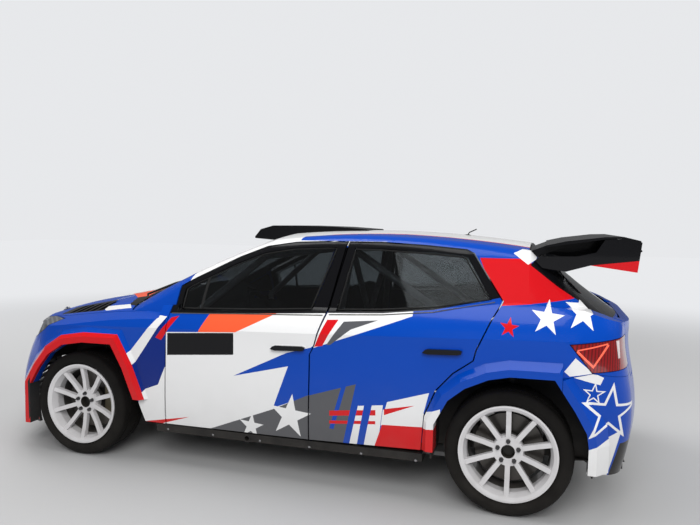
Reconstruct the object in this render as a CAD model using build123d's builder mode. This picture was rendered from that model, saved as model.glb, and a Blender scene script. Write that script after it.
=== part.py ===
from build123d import *
import math
import os
from functools import lru_cache

# Five-door rally hatchback on tarmac wheels, in millimetres.
# +X forward, +Y left, +Z up, origin on the floor below the middle of the body's length.

# Driving dimensions
LENGTH = 3992.0
FRONT_AXLE_X = 1220.0
REAR_AXLE_X = -1350.0
WHEEL_Y = 787.5
TYRE_R = 320.0
TYRE_WIDTH = 225.0
RIM_FLANGE_R = 246.0
RIM_SEAT_R = 228.0
RIM_WIDTH = 222.0
SEAM = 7.0
RAKE_DEG = 2.0
DOOR_WALL = 95.0
FRAME_WALL = 60.0
WINDOW_FRAME_WALL = 35.0
SKIN = 22.0
GLASS_T = 5.0
GLASS_INSET = 5.0
BELT_Z = 930.0
BELT_SLOPE_DEG = 3.0
MIRROR_Y = Plane.XZ

FLARE_Y = 910.0
ARCH_DEPTH_Y = 505.0
STEER_DEG = 28.0
KINGPIN_LOW = (FRONT_AXLE_X, 705.0, 190.0)
KINGPIN_TOP = (FRONT_AXLE_X, 575.0, 780.0)


# Lofted lower body: plan outlines at tilted levels, one row a level.
# level, nose_x, cheek_x, cheek_y, front_x, front_y, door_y, rear_x, rear_y, corner_x, corner_y, tail_x
HULL_LOW = (
    (110, 1930, 1775, 690, 1555, 822, 832, -1690, 836, -1885, 725, -1925),
    (300, 1990, 1826, 728, 1585, 858, 868, -1715, 868, -1915, 752, -1982),
    (500, 1992, 1806, 742, 1585, 864, 872, -1720, 872, -1925, 760, -1992),
    (700, 1950, 1722, 752, 1540, 858, 868, -1712, 866, -1893, 762, -1960),
    (845, 1890, 1645, 742, 1490, 846, 874, -1690, 858, -1868, 752, -1952),
)
HULL_HIGH = (
    (845, 1890, 1645, 742, 1490, 846, 874, -1690, 858, -1868, 752, -1952),
    (930, 1800, 1560, 700, 1400, 800, 828, -1650, 808, -1850, 716, -1948),
    (1060, 1650, 1440, 625, 1280, 690, 664, -1560, 628, -1770, 530, -1850),
)
HULL_RADII = (860, 280, 320, 9000, 320, 215, 1000)

# Lofted greenhouse in three runs: windscreen, roof, rear window. One row a cross section.
# x, crown_z, roof_edge_y, roof_edge_z, gutter_y, gutter_z, foot_y
HOUSE_FOOT_Z = 780.0
SCREEN_RUN = (
    (1060, 975, 562, 892, 702, 852, 712),
    (730, 1128, 596, 1064, 702, 992, 796),
    (395, 1284, 580, 1222, 680, 1146, 828),
    (60, 1394, 561, 1354, 663, 1282, 840),
)
ROOF_RUN = (
    (60, 1394, 561, 1354, 663, 1282, 840),
    (-430, 1418, 555, 1392, 657, 1326, 844),
    (-930, 1404, 547, 1380, 646, 1318, 840),
    (-1420, 1357, 516, 1328, 612, 1262, 812),
)
REAR_RUN = (
    (-1420, 1357, 516, 1328, 612, 1262, 812),
    (-1660, 1153, 500, 1104, 605, 1046, 800),
    (-1900, 976, 420, 936, 545, 908, 590),
)

# Bonnet and wing tops: x, crown_z, edge_z at the body's side
BONNET_SIDE_Y = 900.0
BONNET = (
    (2040, 700, 610),
    (1880, 792, 690),
    (1640, 868, 742),
    (1300, 940, 790),
    (940, 1002, 830),
    (640, 1040, 850),
)

# Seam and opening outlines in the side view, as (x, z) corners
FRONT_DOOR = (
    (628, 252), (632, 900), (632, 1058), (555, 1101), (261, 1244), (80, 1313),
    (-101, 1342), (-325, 1352), (-417, 1352), (-347, 963), (-297, 784), (-274, 737), (-274, 262),
)
REAR_DOOR = (
    (-282, 262), (-282, 740), (-306, 787), (-359, 964), (-434, 1352), (-618, 1354), (-877, 1342),
    (-1090, 1325), (-1130, 1306), (-1292, 1066), (-1245, 985), (-1175, 830), (-1162, 776),
    (-1062, 704), (-975, 606), (-918, 470), (-905, 280),
)
FRONT_GLASS = (
    (596, 926), (596, 1049), (555, 1071), (261, 1214), (80, 1283), (-101, 1313),
    (-325, 1323), (-372, 1323), (-262, 972), (95, 946),
)
REAR_GLASS = (
    (-470, 1323), (-618, 1324), (-877, 1312), (-1080, 1296), (-1100, 1288),
    (-1238, 1072), (-943, 1014), (-667, 988), (-402, 976),
)
FRONT_ARCH = (
    (1590, 100), (1590, 415), (1526, 522), (1451, 614), (1345, 682), (1191, 708),
    (988, 710), (907, 570), (830, 389), (768, 236), (740, 100),
)
REAR_ARCH = (
    (-975, 100), (-977, 437), (-1046, 568), (-1131, 638), (-1248, 693), (-1351, 716),
    (-1563, 719), (-1663, 569), (-1718, 470), (-1728, 402), (-1725, 100),
)
FLARE_WIDTH = 38.0
FLARE_BLEND_DEG = 40.0


def side_plane(y):
    # Drawing plane with local x along +X and local y along +Z, facing the left side
    return Plane(origin=(0, y, 0), x_dir=(1, 0, 0), z_dir=(0, -1, 0))


def side_prism(points, y_in, y_out, grow=0.0, corner=0.0):
    with BuildPart() as prism:
        with BuildSketch(side_plane(y_in)):
            with BuildLine():
                if corner:
                    FilletPolyline(*points, radius=corner, close=True)
                else:
                    Polyline(*points, close=True)
            make_face()
            if grow:
                offset(amount=grow, kind=Kind.INTERSECTION)
        extrude(amount=-(y_out - y_in))
    return prism.part


def plan_prism(points, z_low, z_high, grow=0.0, corner=0.0):
    with BuildPart() as prism:
        with BuildSketch(Plane.XY.offset(z_low)):
            with BuildLine():
                if corner:
                    FilletPolyline(*points, radius=corner, close=True)
                else:
                    Polyline(*points, close=True)
            make_face()
            if grow:
                offset(amount=grow, kind=Kind.INTERSECTION)
        extrude(amount=z_high - z_low)
    return prism.part


def front_prism(points, x_low, x_high, grow=0.0, corner=0.0):
    with BuildPart() as prism:
        with BuildSketch(Plane.YZ.offset(x_low)):
            with BuildLine():
                if corner:
                    FilletPolyline(*points, radius=corner, close=True)
                else:
                    Polyline(*points, close=True)
            make_face()
            if grow:
                offset(amount=grow, kind=Kind.INTERSECTION)
        extrude(amount=x_high - x_low)
    return prism.part


def block(x0, x1, y0, y1, z0, z1):
    with BuildPart() as body:
        with Locations(((x0 + x1) / 2, (y0 + y1) / 2, (z0 + z1) / 2)):
            Box(x1 - x0, y1 - y0, z1 - z0)
    return body.part


def tube(points, radius):
    # Straight runs of round bar joined by balls at the corners
    with BuildPart() as bar:
        for start, end in zip(points[:-1], points[1:]):
            run = Vector(*end) - Vector(*start)
            with BuildSketch(Plane(origin=start, z_dir=run)):
                Circle(radius)
            extrude(amount=run.length)
        for point in points[1:-1]:
            with Locations(point):
                Sphere(radius)
    return bar.part


def rod(start, end, radius):
    run = Vector(*end) - Vector(*start)
    with BuildPart() as bar:
        with BuildSketch(Plane(origin=tuple(start), z_dir=run)):
            Circle(radius)
        extrude(amount=run.length)
    return bar.part


def both_sides(part):
    with BuildPart() as pair:
        add(part)
        add(part.mirror(MIRROR_Y))
    return pair.part


# Lower body

def level_plane(level):
    tilt = math.radians(RAKE_DEG)
    return Plane(
        origin=(0, 0, level),
        x_dir=(math.cos(tilt), 0, -math.sin(tilt)),
        z_dir=(math.sin(tilt), 0, math.cos(tilt)),
    )


def hull_outline(row, inset):
    nose_x, cheek_x, cheek_y, front_x, front_y, door_y, rear_x, rear_y, corner_x, corner_y, tail_x = row[1:]
    t = inset
    return (
        (nose_x - t, 0), (nose_x - t, 330),
        (cheek_x - t, cheek_y - 0.6 * t), (front_x - 0.4 * t, front_y - t),
        (-100, door_y - t), (rear_x + 0.4 * t, rear_y - t), (corner_x + t, corner_y - 0.6 * t),
        (tail_x + t, 0.5 * corner_y), (tail_x + t, 0),
    )


def hull_loft(levels, inset):
    radii = [radius * (1 - inset / 180) for radius in HULL_RADII]
    with BuildPart() as hull:
        for row in levels:
            points = hull_outline(row, inset)
            with BuildSketch(level_plane(row[0])):
                with BuildLine():
                    FilletPolyline(*points, radius=radii)
                    Line(points[-1], points[0])
                make_face()
        loft()
    return hull.part


def bonnet_top(lower):
    # Solid below the crowned bonnet and wing tops, left half
    with BuildPart() as crown:
        for x, crown_z, edge_z in BONNET:
            with BuildSketch(Plane.YZ.offset(x)):
                with BuildLine():
                    rise = crown_z - edge_z
                    radius = (BONNET_SIDE_Y ** 2 + rise ** 2) / (2 * rise)
                    half = math.asin(BONNET_SIDE_Y / radius) / 2
                    middle = (radius * math.sin(half), crown_z - lower - radius * (1 - math.cos(half)))
                    ThreePointArc((0, crown_z - lower), middle, (BONNET_SIDE_Y, edge_z - lower))
                    Line((BONNET_SIDE_Y, edge_z - lower), (BONNET_SIDE_Y, 60))
                    Line((BONNET_SIDE_Y, 60), (0, 60))
                    Line((0, 60), (0, crown_z - lower))
                make_face()
        loft()
    return crown.part


# Side view of everything below the belt and above the underside
CUT_X = 700.0
FAR_Y = 1000.0
BODY_SIDE_FRONT = ((2100, 150), (2100, 1100), (CUT_X, 1100), (CUT_X, 150))
BODY_SIDE_REAR = (
    (CUT_X, 150), (CUT_X, 950), (95, 985), (-667, 1025), (-1268, 1075), (-1700, 1040),
    (-1900, 975), (-2100, 925), (-2100, 200), (-1000, 170),
)


@lru_cache(maxsize=None)
def hull_raw(inset):
    with BuildPart() as raw:
        add(hull_loft(HULL_LOW, inset))
        add(hull_loft(HULL_HIGH, inset))
    return raw.part


@lru_cache(maxsize=None)
def hull_front(inset):
    # Left half ahead of the doors, its top lowered by the same inset
    with BuildPart() as front:
        add(hull_raw(inset))
        add(side_prism(BODY_SIDE_FRONT, -1, 1000), mode=Mode.INTERSECT)
        add(bonnet_top(inset), mode=Mode.INTERSECT)
    return front.part


@lru_cache(maxsize=None)
def hull_rear(inset):
    # Left half from the front door back, cut level with the belt
    with BuildPart() as rear:
        add(hull_raw(inset))
        add(side_prism(BODY_SIDE_REAR, -1, 1000), mode=Mode.INTERSECT)
    return rear.part


# Greenhouse

def house_run(rows, inset):
    t = inset
    with BuildPart() as cabin:
        for x, crown_z, edge_y, edge_z, gutter_y, gutter_z, foot_y in rows:
            crown_z, edge_z, gutter_z = crown_z - t, edge_z - t, gutter_z - 0.7 * t
            edge_y, gutter_y, foot_y = edge_y - 0.4 * t, gutter_y - t, foot_y - t
            rise = crown_z - edge_z
            radius = (edge_y ** 2 + rise ** 2) / (2 * rise)
            half = math.asin(edge_y / radius) / 2
            with BuildSketch(Plane.YZ.offset(x)):
                with BuildLine():
                    middle = (radius * math.sin(half), crown_z - radius * (1 - math.cos(half)))
                    roof = ThreePointArc((0, crown_z), middle, (edge_y, edge_z))
                    TangentArc((edge_y, edge_z), (gutter_y, gutter_z), tangent=roof % 1)
                    side_y = (gutter_y + foot_y) / 2 + 9
                    side_z = (gutter_z + HOUSE_FOOT_Z) / 2
                    ThreePointArc((gutter_y, gutter_z), (side_y, side_z), (foot_y, HOUSE_FOOT_Z))
                    Line((foot_y, HOUSE_FOOT_Z), (0, HOUSE_FOOT_Z))
                    Line((0, HOUSE_FOOT_Z), (0, crown_z))
                make_face()
        loft()
    return cabin.part


def house(inset):
    with BuildPart() as cabin:
        add(house_run(SCREEN_RUN, inset))
        add(house_run(ROOF_RUN, inset))
        add(house_run(REAR_RUN, inset))
    return cabin.part


def finish(part, label):
    part.label = label
    export_step(part, f"parts/{label}.step")


def cut(body, *tools):
    with BuildPart() as result:
        add(body)
        add(tools, mode=Mode.SUBTRACT)
    return result.part


def common(body, *tools):
    with BuildPart() as result:
        add(body)
        for tool in tools:
            add(tool, mode=Mode.INTERSECT)
    return result.part


def join(*bodies):
    with BuildPart() as result:
        for body in bodies:
            add(body)
    return result.part


def export_pair(left_part, stem):
    finish(left_part, f"{stem}_left")
    finish(left_part.mirror(MIRROR_Y), f"{stem}_right")


os.makedirs("parts", exist_ok=True)

# Master surfaces, left half
HULL_FRONT = hull_front(0.0)
HULL_REAR = hull_rear(0.0)
HOUSE_OUT = house(0.0)
HOUSE_GROWN = house(-SEAM)
GLASS_OUT = house(GLASS_INSET)
GLASS_IN = house(GLASS_INSET + GLASS_T)
GLASS_SHELL = cut(GLASS_OUT, GLASS_IN)



BELOW_BELT = (
    (1100, 100), (1100, 880), (741, 894), (95, 929), (-667, 965), (-1268, 1000), (-1700, 960), (-2100, 920),
    (-2100, 100),
)


def cavity(low_inset, high_inset):
    # Room inside the body: one inset below the belt, another above it
    below = side_prism(BELOW_BELT, -2, FAR_Y)
    return join(common(hull_rear(low_inset), below), cut(house(high_inset), below))


# Seam prisms
ROOF_OUTLINE = ((196, -1), (188, 300), (150, 520), (-450, 528), (-900, 520), (-1413, 492), (-1413, -1))
SCREEN_OUTLINE = ((216, -1), (206, 300), (168, 515), (600, 556), (1010, 604), (1058, 604), (1058, -1))
TAILGATE_OUTLINE = ((-1, 700), (560, 700), (590, 800), (590, 905), (520, 1090), (478, 1420), (-1, 1420))
TAILGATE_FRONT_X = -1420.0
BONNET_OUTLINE = ((860, -1), (1925, -1), (1905, 330), (1735, 590), (1500, 672), (860, 728))
BONNET_LOW_Z = 768.0
HEADLAMP = ((1480, 812), (1700, 806), (2050, 764), (2050, 640), (1770, 640), (1560, 752))
HEADLAMP_IN_Y = 400.0
TAIL_LAMP = ((-1632, 887), (-2050, 934), (-2050, 776), (-1735, 757))
TAIL_LAMP_IN_Y = 600.0
BUMPER_SEAM_X = 1590.0
FRONT_BUMPER_SIDE = ((BUMPER_SEAM_X, 90), (BUMPER_SEAM_X, 815), (2100, 762), (2100, 90))
REAR_BUMPER_SIDE = ((-1600, 719), (-1735, 751), (-2100, 694), (-2100, 215), (-1900, 225), (-1600, 270))
FENDER_SIDE = ((638, 250), (638, 1000), (BUMPER_SEAM_X - 2, 1000), (BUMPER_SEAM_X - 2, 250))

FRONT_DOOR_CUT = side_prism(FRONT_DOOR, 300, FAR_Y, grow=SEAM)
REAR_DOOR_CUT = side_prism(REAR_DOOR, 300, FAR_Y, grow=SEAM)
ROOF_CUT = plan_prism(ROOF_OUTLINE, 1100, 1500, grow=1)
SCREEN_CUT = plan_prism(SCREEN_OUTLINE, 900, 1500, grow=1)
TAILGATE_CUT = front_prism(TAILGATE_OUTLINE, -2100, TAILGATE_FRONT_X + SEAM, grow=SEAM)
FRONT_ARCH_CUT = side_prism(FRONT_ARCH, 400, FAR_Y)
REAR_ARCH_CUT = side_prism(REAR_ARCH, 400, FAR_Y)
HEADLAMP_CUT = side_prism(HEADLAMP, HEADLAMP_IN_Y - 4, FAR_Y, grow=4)
TAIL_LAMP_CUT = side_prism(TAIL_LAMP, TAIL_LAMP_IN_Y - 4, FAR_Y, grow=4)
BONNET_SEAM = 9.0
BONNET_CUT = plan_prism(BONNET_OUTLINE, BONNET_LOW_Z - BONNET_SEAM, 1100, grow=BONNET_SEAM)


# Flares over the wheels
def flare(arch, low_z):
    with BuildPart() as lip:
        with BuildSketch(side_plane(FLARE_Y)):
            with BuildLine():
                Polyline(*arch, close=True)
            make_face()
            offset(amount=FLARE_WIDTH, kind=Kind.INTERSECTION)
        extrude(amount=72, taper=-FLARE_BLEND_DEG)
        add(block(-2100, 2100, 700, FAR_Y, 0, low_z), mode=Mode.SUBTRACT)
    return lip.part


# Front wing
WING_SHELL = cut(HULL_FRONT, hull_front(SKIN))
WING_TAIL = cut(common(HULL_REAR, block(638, CUT_X, 0, FAR_Y, 250, 1000)), hull_rear(SKIN), HOUSE_OUT)
with BuildPart() as front_fender:
    add(common(WING_SHELL, side_prism(FENDER_SIDE, 300, FAR_Y)))
    add(WING_TAIL)
    add([HOUSE_OUT, BONNET_CUT, HEADLAMP_CUT], mode=Mode.SUBTRACT)
    add(common(flare(FRONT_ARCH, 388), side_prism(FENDER_SIDE, 700, FAR_Y)))
    add(FRONT_ARCH_CUT, mode=Mode.SUBTRACT)
export_pair(front_fender.part, "front_fender")

# Bonnet
VENT_ROWS = ((1250, 452, 640), (1312, 456, 640), (1374, 456, 636), (1436, 452, 626), (1498, 446, 610))
VENT_LENGTH = 38.0
VENT_SLOTS = [
    plan_prism(((x, y_in), (x + VENT_LENGTH, y_in + 8), (x + VENT_LENGTH, y_out + 8), (x, y_out)), 800, 1100)
    for x, y_in, y_out in VENT_ROWS
]
with BuildPart() as bonnet:
    add(common(WING_SHELL, plan_prism(BONNET_OUTLINE, BONNET_LOW_Z, 1100)))
    add([HOUSE_GROWN, *VENT_SLOTS], mode=Mode.SUBTRACT)
finish(both_sides(bonnet.part), "bonnet")

# Doors with window frames, and their glass
FRONT_GLASS_CUT = side_prism(FRONT_GLASS, 300, FAR_Y, corner=14)
REAR_GLASS_CUT = side_prism(REAR_GLASS, 300, FAR_Y)
OUTER = join(HULL_REAR, HOUSE_OUT)
EDGE_SKIN = join(hull_rear(8.0), house(8.0))
EDGE_STEP = 22.0
DOOR_ROOM = cavity(DOOR_WALL, WINDOW_FRAME_WALL)
FRONT_HANDLE = (
    (-50, 756), (-64, 772), (-80, 778), (-240, 784), (-256, 778), (-250, 762), (-232, 757), (-80, 750),
)
REAR_HANDLE = [(x - 855, z + 44) for x, z in FRONT_HANDLE]
DOORS = (
    ("front", FRONT_DOOR, FRONT_GLASS_CUT, FRONT_HANDLE),
    ("rear", REAR_DOOR, REAR_GLASS_CUT, REAR_HANDLE),
)
for stem, outline, glass_cut, handle in DOORS:
    stepped = [(x + EDGE_STEP, z) for x, z in outline]
    edge_strip = cut(side_prism(outline, 300, FAR_Y), side_prism(stepped, 290, FAR_Y + 10))
    with BuildPart() as door:
        add(common(OUTER, side_prism(outline, 300, FAR_Y)))
        add([DOOR_ROOM, glass_cut], mode=Mode.SUBTRACT)
        add(common(EDGE_SKIN, edge_strip), mode=Mode.SUBTRACT)
        add(side_prism(handle, 850, 890))
    export_pair(door.part, f"door_{stem}")
    export_pair(common(GLASS_SHELL, glass_cut), f"door_glass_{stem}")

# Body side with pillars, cantrail, sill and rear quarter
SILL_SKIRT = ((720, 198), (720, 244), (-912, 258), (-912, 212))
SILL_BOX = ((720, 198), (720, 390), (-905, 400), (-912, 212))
PILLAR_LOW = ((-230, 230), (-230, 960), (-335, 960), (-335, 230))
PILLAR_HIGH = ((-226, 900), (-338, 900), (-450, 1372), (-345, 1372))
HINGE_PILLAR = ((640, 244), (640, 845), (716, 845), (716, 244))
SIDE_ZONE = join(block(-1985, 630, 300, FAR_Y, 290, 1500), block(600, 1060, 470, FAR_Y, 850, 1500))
BEHIND_WALL = hull_rear(DOOR_WALL + SEAM)
WING_ROOM = cut(common(HULL_REAR, block(630, 1100, 300, FAR_Y, 845, 1100)), HOUSE_OUT)
DOOR_GAP_HOUSE = cut(house(WINDOW_FRAME_WALL + SEAM), HULL_REAR, house(80))
JACK_X = 100.0
JACK_Z = 222.0
with BuildPart() as side_frame:
    add(cut(common(OUTER, SIDE_ZONE), cavity(FRAME_WALL, FRAME_WALL)))
    add([
        block(628, 1100, 300, FAR_Y, 100, 852), WING_ROOM, ROOF_CUT, SCREEN_CUT, TAILGATE_CUT,
        FRONT_DOOR_CUT, REAR_DOOR_CUT, TAIL_LAMP_CUT, side_prism(REAR_BUMPER_SIDE, 300, FAR_Y, grow=2),
    ], mode=Mode.SUBTRACT)
    add(common(flare(REAR_ARCH, 290), block(-1598, -850, 700, FAR_Y, 290, 900)))
    add([REAR_DOOR_CUT, REAR_ARCH_CUT], mode=Mode.SUBTRACT)
    add(common(HULL_REAR, side_prism(SILL_SKIRT, 600, FAR_Y)))
    add(common(BEHIND_WALL, side_prism(SILL_BOX, 600, FAR_Y)))
    add(common(BEHIND_WALL, side_prism(PILLAR_LOW, 640, FAR_Y)))
    add(common(DOOR_GAP_HOUSE, side_prism(PILLAR_HIGH, 540, FAR_Y)))
    add(common(hull_rear(FRAME_WALL), side_prism(HINGE_PILLAR, 720, FAR_Y)))
    add(rod((JACK_X, 780, JACK_Z), (JACK_X, 862, JACK_Z), 22))
    add(rod((JACK_X, 780, JACK_Z), (JACK_X, 900, JACK_Z), 14), mode=Mode.SUBTRACT)
export_pair(side_frame.part, "side_frame")

# Roof skin, windscreen, scoop
ROOF_SKIN = 24.0
ROOF_SHELL = cut(HOUSE_OUT, house(ROOF_SKIN))
finish(both_sides(common(ROOF_SHELL, plan_prism(ROOF_OUTLINE, 1100, 1500))), "roof_panel")
finish(both_sides(cut(common(GLASS_SHELL, plan_prism(SCREEN_OUTLINE, 880, 1500)), HULL_FRONT)), "windscreen")

SCOOP_SIDE = (
    (380, 1352), (330, 1412), (240, 1438), (60, 1440), (-200, 1436), (-415, 1424), (-415, 1380), (200, 1340),
)
SCOOP_MOUTH = ((400, 1372), (330, 1398), (200, 1424), (60, 1424), (60, 1330), (400, 1330))
with BuildPart() as scoop:
    add(side_prism(SCOOP_SIDE, 0, 205, corner=8))
    add(side_prism(SCOOP_MOUTH, -1, 190), mode=Mode.SUBTRACT)
    add(HOUSE_OUT, mode=Mode.SUBTRACT)
finish(both_sides(scoop.part), "roof_scoop")

# Tailgate, its window and wing
REAR_WALL = 48.0
TAILGATE_INNER = ((-1, 690), (534, 690), (564, 795), (564, 898), (492, 1090), (454, 1430), (-1, 1430))
TAILGATE_BOX = front_prism(TAILGATE_OUTLINE, -2100, TAILGATE_FRONT_X)
TAILGATE_EDGE = cut(TAILGATE_BOX, front_prism(TAILGATE_INNER, -2110, -1410))
TAILGATE_SHELL = join(
    cut(common(HULL_REAR, TAILGATE_BOX), hull_rear(REAR_WALL)),
    cut(common(HOUSE_OUT, TAILGATE_BOX), house(REAR_WALL), block(-2100, 1100, -1, 1000, 700, 925)),
)
REAR_WINDOW = ((-1, 968), (430, 968), (468, 1000), (440, 1120), (430, 1270), (-1, 1290))
REAR_WINDOW_CUT = front_prism(REAR_WINDOW, -2100, -1435)
with BuildPart() as tailgate:
    add(TAILGATE_SHELL)
    add(REAR_WINDOW_CUT, mode=Mode.SUBTRACT)
    add(common(EDGE_SKIN, TAILGATE_EDGE), mode=Mode.SUBTRACT)
finish(both_sides(tailgate.part), "tailgate")
finish(both_sides(common(GLASS_SHELL, REAR_WINDOW_CUT)), "tailgate_glass")

WING_PLATE = ((-1724, 1263), (-1749, 1331), (-1790, 1398), (-1880, 1405), (-1966, 1388), (-1949, 1234))
WING_BRACE = (
    (-1424, 1250), (-1471, 1302), (-1657, 1308), (-1749, 1331), (-1760, 1300), (-1724, 1263), (-1603, 1226),
)
WING_MAIN = (
    (-1500, 1362), (-1600, 1386), (-1790, 1412), (-1880, 1415), (-1960, 1396), (-1962, 1388), (-1880, 1405),
    (-1790, 1400), (-1600, 1368), (-1500, 1352),
)
ROOF_LIP = ((-1432, 1330), (-1500, 1358), (-1592, 1362), (-1592, 1350), (-1510, 1318), (-1450, 1290))
WING_FLAP = ((-1760, 1280), (-1860, 1300), (-1965, 1350), (-1968, 1342), (-1860, 1284), (-1760, 1268))
WING_STRUT = ((-1470, 1320), (-1500, 1362), (-1870, 1404), (-1900, 1300), (-1700, 1262))
with BuildPart() as wing:
    add(side_prism(WING_MAIN, 0, 585))
    add(side_prism(WING_FLAP, 0, 585))
    add(side_prism(WING_PLATE, 575, 587))
    add(cut(side_prism(WING_BRACE, 575, 587), HOUSE_GROWN))
    add(side_prism(WING_STRUT, 300, 312))
    add(side_prism(ROOF_LIP, 0, 474))
    add(HOUSE_OUT, mode=Mode.SUBTRACT)
finish(both_sides(wing.part), "rear_wing")

# Bumpers, grille, lamps
LOW_GRILLE = ((-1, 205), (520, 205), (560, 300), (500, 430), (-1, 430))
TOP_GRILLE = ((-1, 560), (430, 575), (480, 640), (470, 690), (-1, 700))
SIDE_VENT = ((600, 215), (720, 230), (735, 400), (640, 520), (600, 430))
GRILLE_SHAPES = (LOW_GRILLE, TOP_GRILLE, SIDE_VENT)
GRILLE_CUTS = [front_prism(shape, 1700, 2100) for shape in GRILLE_SHAPES]
BUMPER_SHELL = common(WING_SHELL, side_prism(FRONT_BUMPER_SIDE, -1, FAR_Y))
with BuildPart() as front_bumper:
    add(BUMPER_SHELL)
    add([BONNET_CUT, HEADLAMP_CUT], mode=Mode.SUBTRACT)
    add(common(flare(FRONT_ARCH, 165), side_prism(FRONT_BUMPER_SIDE, 700, FAR_Y)))
    add([FRONT_ARCH_CUT, *GRILLE_CUTS], mode=Mode.SUBTRACT)
finish(both_sides(front_bumper.part), "front_bumper")

# Slatted grille behind the openings of the bumper: curved slats on upright posts
SLAT_FRONT = 30.0
SLAT_BACK = 54.0
SLAT_T = 13.0
SLAT_LEVELS = tuple(284.0 + 32.0 * step for step in range(15))
# Posts of the grille: y, front x low down (their tops lean back with the nose)
GRILLE_POSTS = ((0, 1948), (150, 1948), (300, 1938), (384, 1908))
# Runs of like slats: lowest level, highest level, level whose plan they all take, width to one side
SLAT_RUNS = (
    (280, 460, 400, 738.0),
    (461, 600, 590, 738.0),
    (601, 760, 720, 390.0),
)


def hull_row_at(level):
    # Plan row of the lower body between two of its levels
    for low, high in zip(HULL_LOW, HULL_LOW[1:]):
        if level <= high[0]:
            share = (level - low[0]) / (high[0] - low[0])
            return [a + (b - a) * share for a, b in zip(low, high)]
    return HULL_LOW[-1]


def slat_area(row, inset):
    radii = [radius * (1 - inset / 180) for radius in HULL_RADII]
    points = hull_outline(row, inset)
    with BuildSketch() as area:
        with BuildLine():
            FilletPolyline(*points, radius=radii)
            Line(points[-1], points[0])
        make_face()
    return area.sketch


def slat_strip(plan_level, reach_y):
    row = hull_row_at(plan_level)
    with BuildPart() as strip:
        with BuildSketch():
            add(slat_area(row, SLAT_FRONT))
            add(slat_area(row, SLAT_BACK), mode=Mode.SUBTRACT)
            with Locations((1900, reach_y / 2)):
                Rectangle(300, reach_y, mode=Mode.INTERSECT)
        extrude(amount=SLAT_T)
    return strip.part


def slat_run(low, high, plan_level, reach_y):
    # The same strip at every slat level of the run, moved with the nose
    strip = slat_strip(plan_level, reach_y)
    nose_x = hull_row_at(plan_level)[1]
    run = []
    for level in SLAT_LEVELS:
        if low <= level <= high:
            forward = hull_row_at(level)[1]
            run.append(Pos(forward - nose_x, 0, level - 0.034 * forward) * strip)
    return run


with BuildPart() as grille:
    for slats in SLAT_RUNS:
        add(slat_run(*slats))
    for post_y, front_x in GRILLE_POSTS:
        back_x = front_x - 56
        foot = ((back_x, 214), (front_x, 214), (front_x, 500))
        top = ((front_x - 46, 668), (back_x - 26, 668), (back_x, 500))
        add(side_prism(foot + top, post_y, post_y + 12))
finish(both_sides(grille.part), "front_grille")

with BuildPart() as headlamp:
    add(common(HULL_FRONT, side_prism(HEADLAMP, HEADLAMP_IN_Y, FAR_Y)))
    add([hull_front(FRAME_WALL), BONNET_CUT], mode=Mode.SUBTRACT)
finish(both_sides(headlamp.part), "headlamps")

with BuildPart() as tail_lamp:
    add(common(HULL_REAR, side_prism(TAIL_LAMP, TAIL_LAMP_IN_Y, FAR_Y)))
    add(hull_rear(FRAME_WALL), mode=Mode.SUBTRACT)
finish(both_sides(tail_lamp.part), "tail_lamps")

with BuildPart() as rear_bumper:
    add(common(HULL_REAR, side_prism(REAR_BUMPER_SIDE, -1, FAR_Y)))
    add([hull_rear(SKIN), TAILGATE_CUT], mode=Mode.SUBTRACT)
    add(common(flare(REAR_ARCH, 270), side_prism(REAR_BUMPER_SIDE, 700, FAR_Y)))
    add(REAR_ARCH_CUT, mode=Mode.SUBTRACT)
finish(cut(both_sides(rear_bumper.part), rod((-1880, -300, 330), (-2100, -300, 330), 46)), "rear_bumper")

# Kingpin line of the left front wheel
KING_LOW = Vector(*KINGPIN_LOW)
KING_TOP = Vector(*KINGPIN_TOP)
KING_DIR = (KING_TOP - KING_LOW).normalized()
KINGPIN_R = 14.0


def king_point(along):
    return KING_LOW + KING_DIR * along


# Floor, bulkhead and wheelhouses
FLOOR_Z = 165.0
FLOOR_T = 22.0
FRONT_WELL = (
    (1632, 90), (1632, 430), (1560, 600), (1450, 720), (1340, 786), (1100, 786),
    (960, 740), (860, 600), (790, 400), (735, 236), (735, 90),
)
TOW_REAR = (-1830.0, 198.0)
TOW_FRONT = (1830.0, 112.0)
WELL_IN_Y = 500.0
WELL_T = 8.0
WELL_WALL_Y = 522.0
REAR_WHEELHOUSE = cut(
    side_prism(REAR_ARCH, WELL_WALL_Y, 800, grow=34),
    side_prism(REAR_ARCH, WELL_WALL_Y + WELL_T, 900, grow=26),
)
FRONT_WHEELHOUSE = cut(
    side_prism(FRONT_WELL, WELL_IN_Y - WELL_T, 790, grow=WELL_T), side_prism(FRONT_WELL, WELL_IN_Y, 900),
)
SCUTTLE = cut(common(HULL_FRONT, block(756, 790, 0, 636, 820, 1100), HOUSE_OUT), hull_front(SKIN))
with BuildPart() as floor_pan:
    add(block(-1000, 752, -1, 600, FLOOR_Z, FLOOR_Z + FLOOR_T))
    add(block(-1000, -978, -1, WELL_WALL_Y, FLOOR_Z, 470))
    add(block(-1850, -978, -1, WELL_WALL_Y, 448, 470))
    add(block(-900, 752, -1, 120, FLOOR_Z, 330))
    add(block(-900, 752, -1, 100, FLOOR_Z, 310), mode=Mode.SUBTRACT)
    add(block(-1860, -1800, 414, 426, 172, 448))
    add(rod((TOW_REAR[0], 400, TOW_REAR[1]), (TOW_REAR[0], 440, TOW_REAR[1]), 15), mode=Mode.SUBTRACT)
finish(both_sides(floor_pan.part), "floor_pan")

with BuildPart() as bulkhead:
    add(block(756, 776, -1, 700, FLOOR_Z, 850))
    add(common(HULL_FRONT, HOUSE_OUT, block(756, 776, -1, 466, 840, 1100)))
    add(SCUTTLE)
finish(both_sides(bulkhead.part), "bulkhead")

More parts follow.
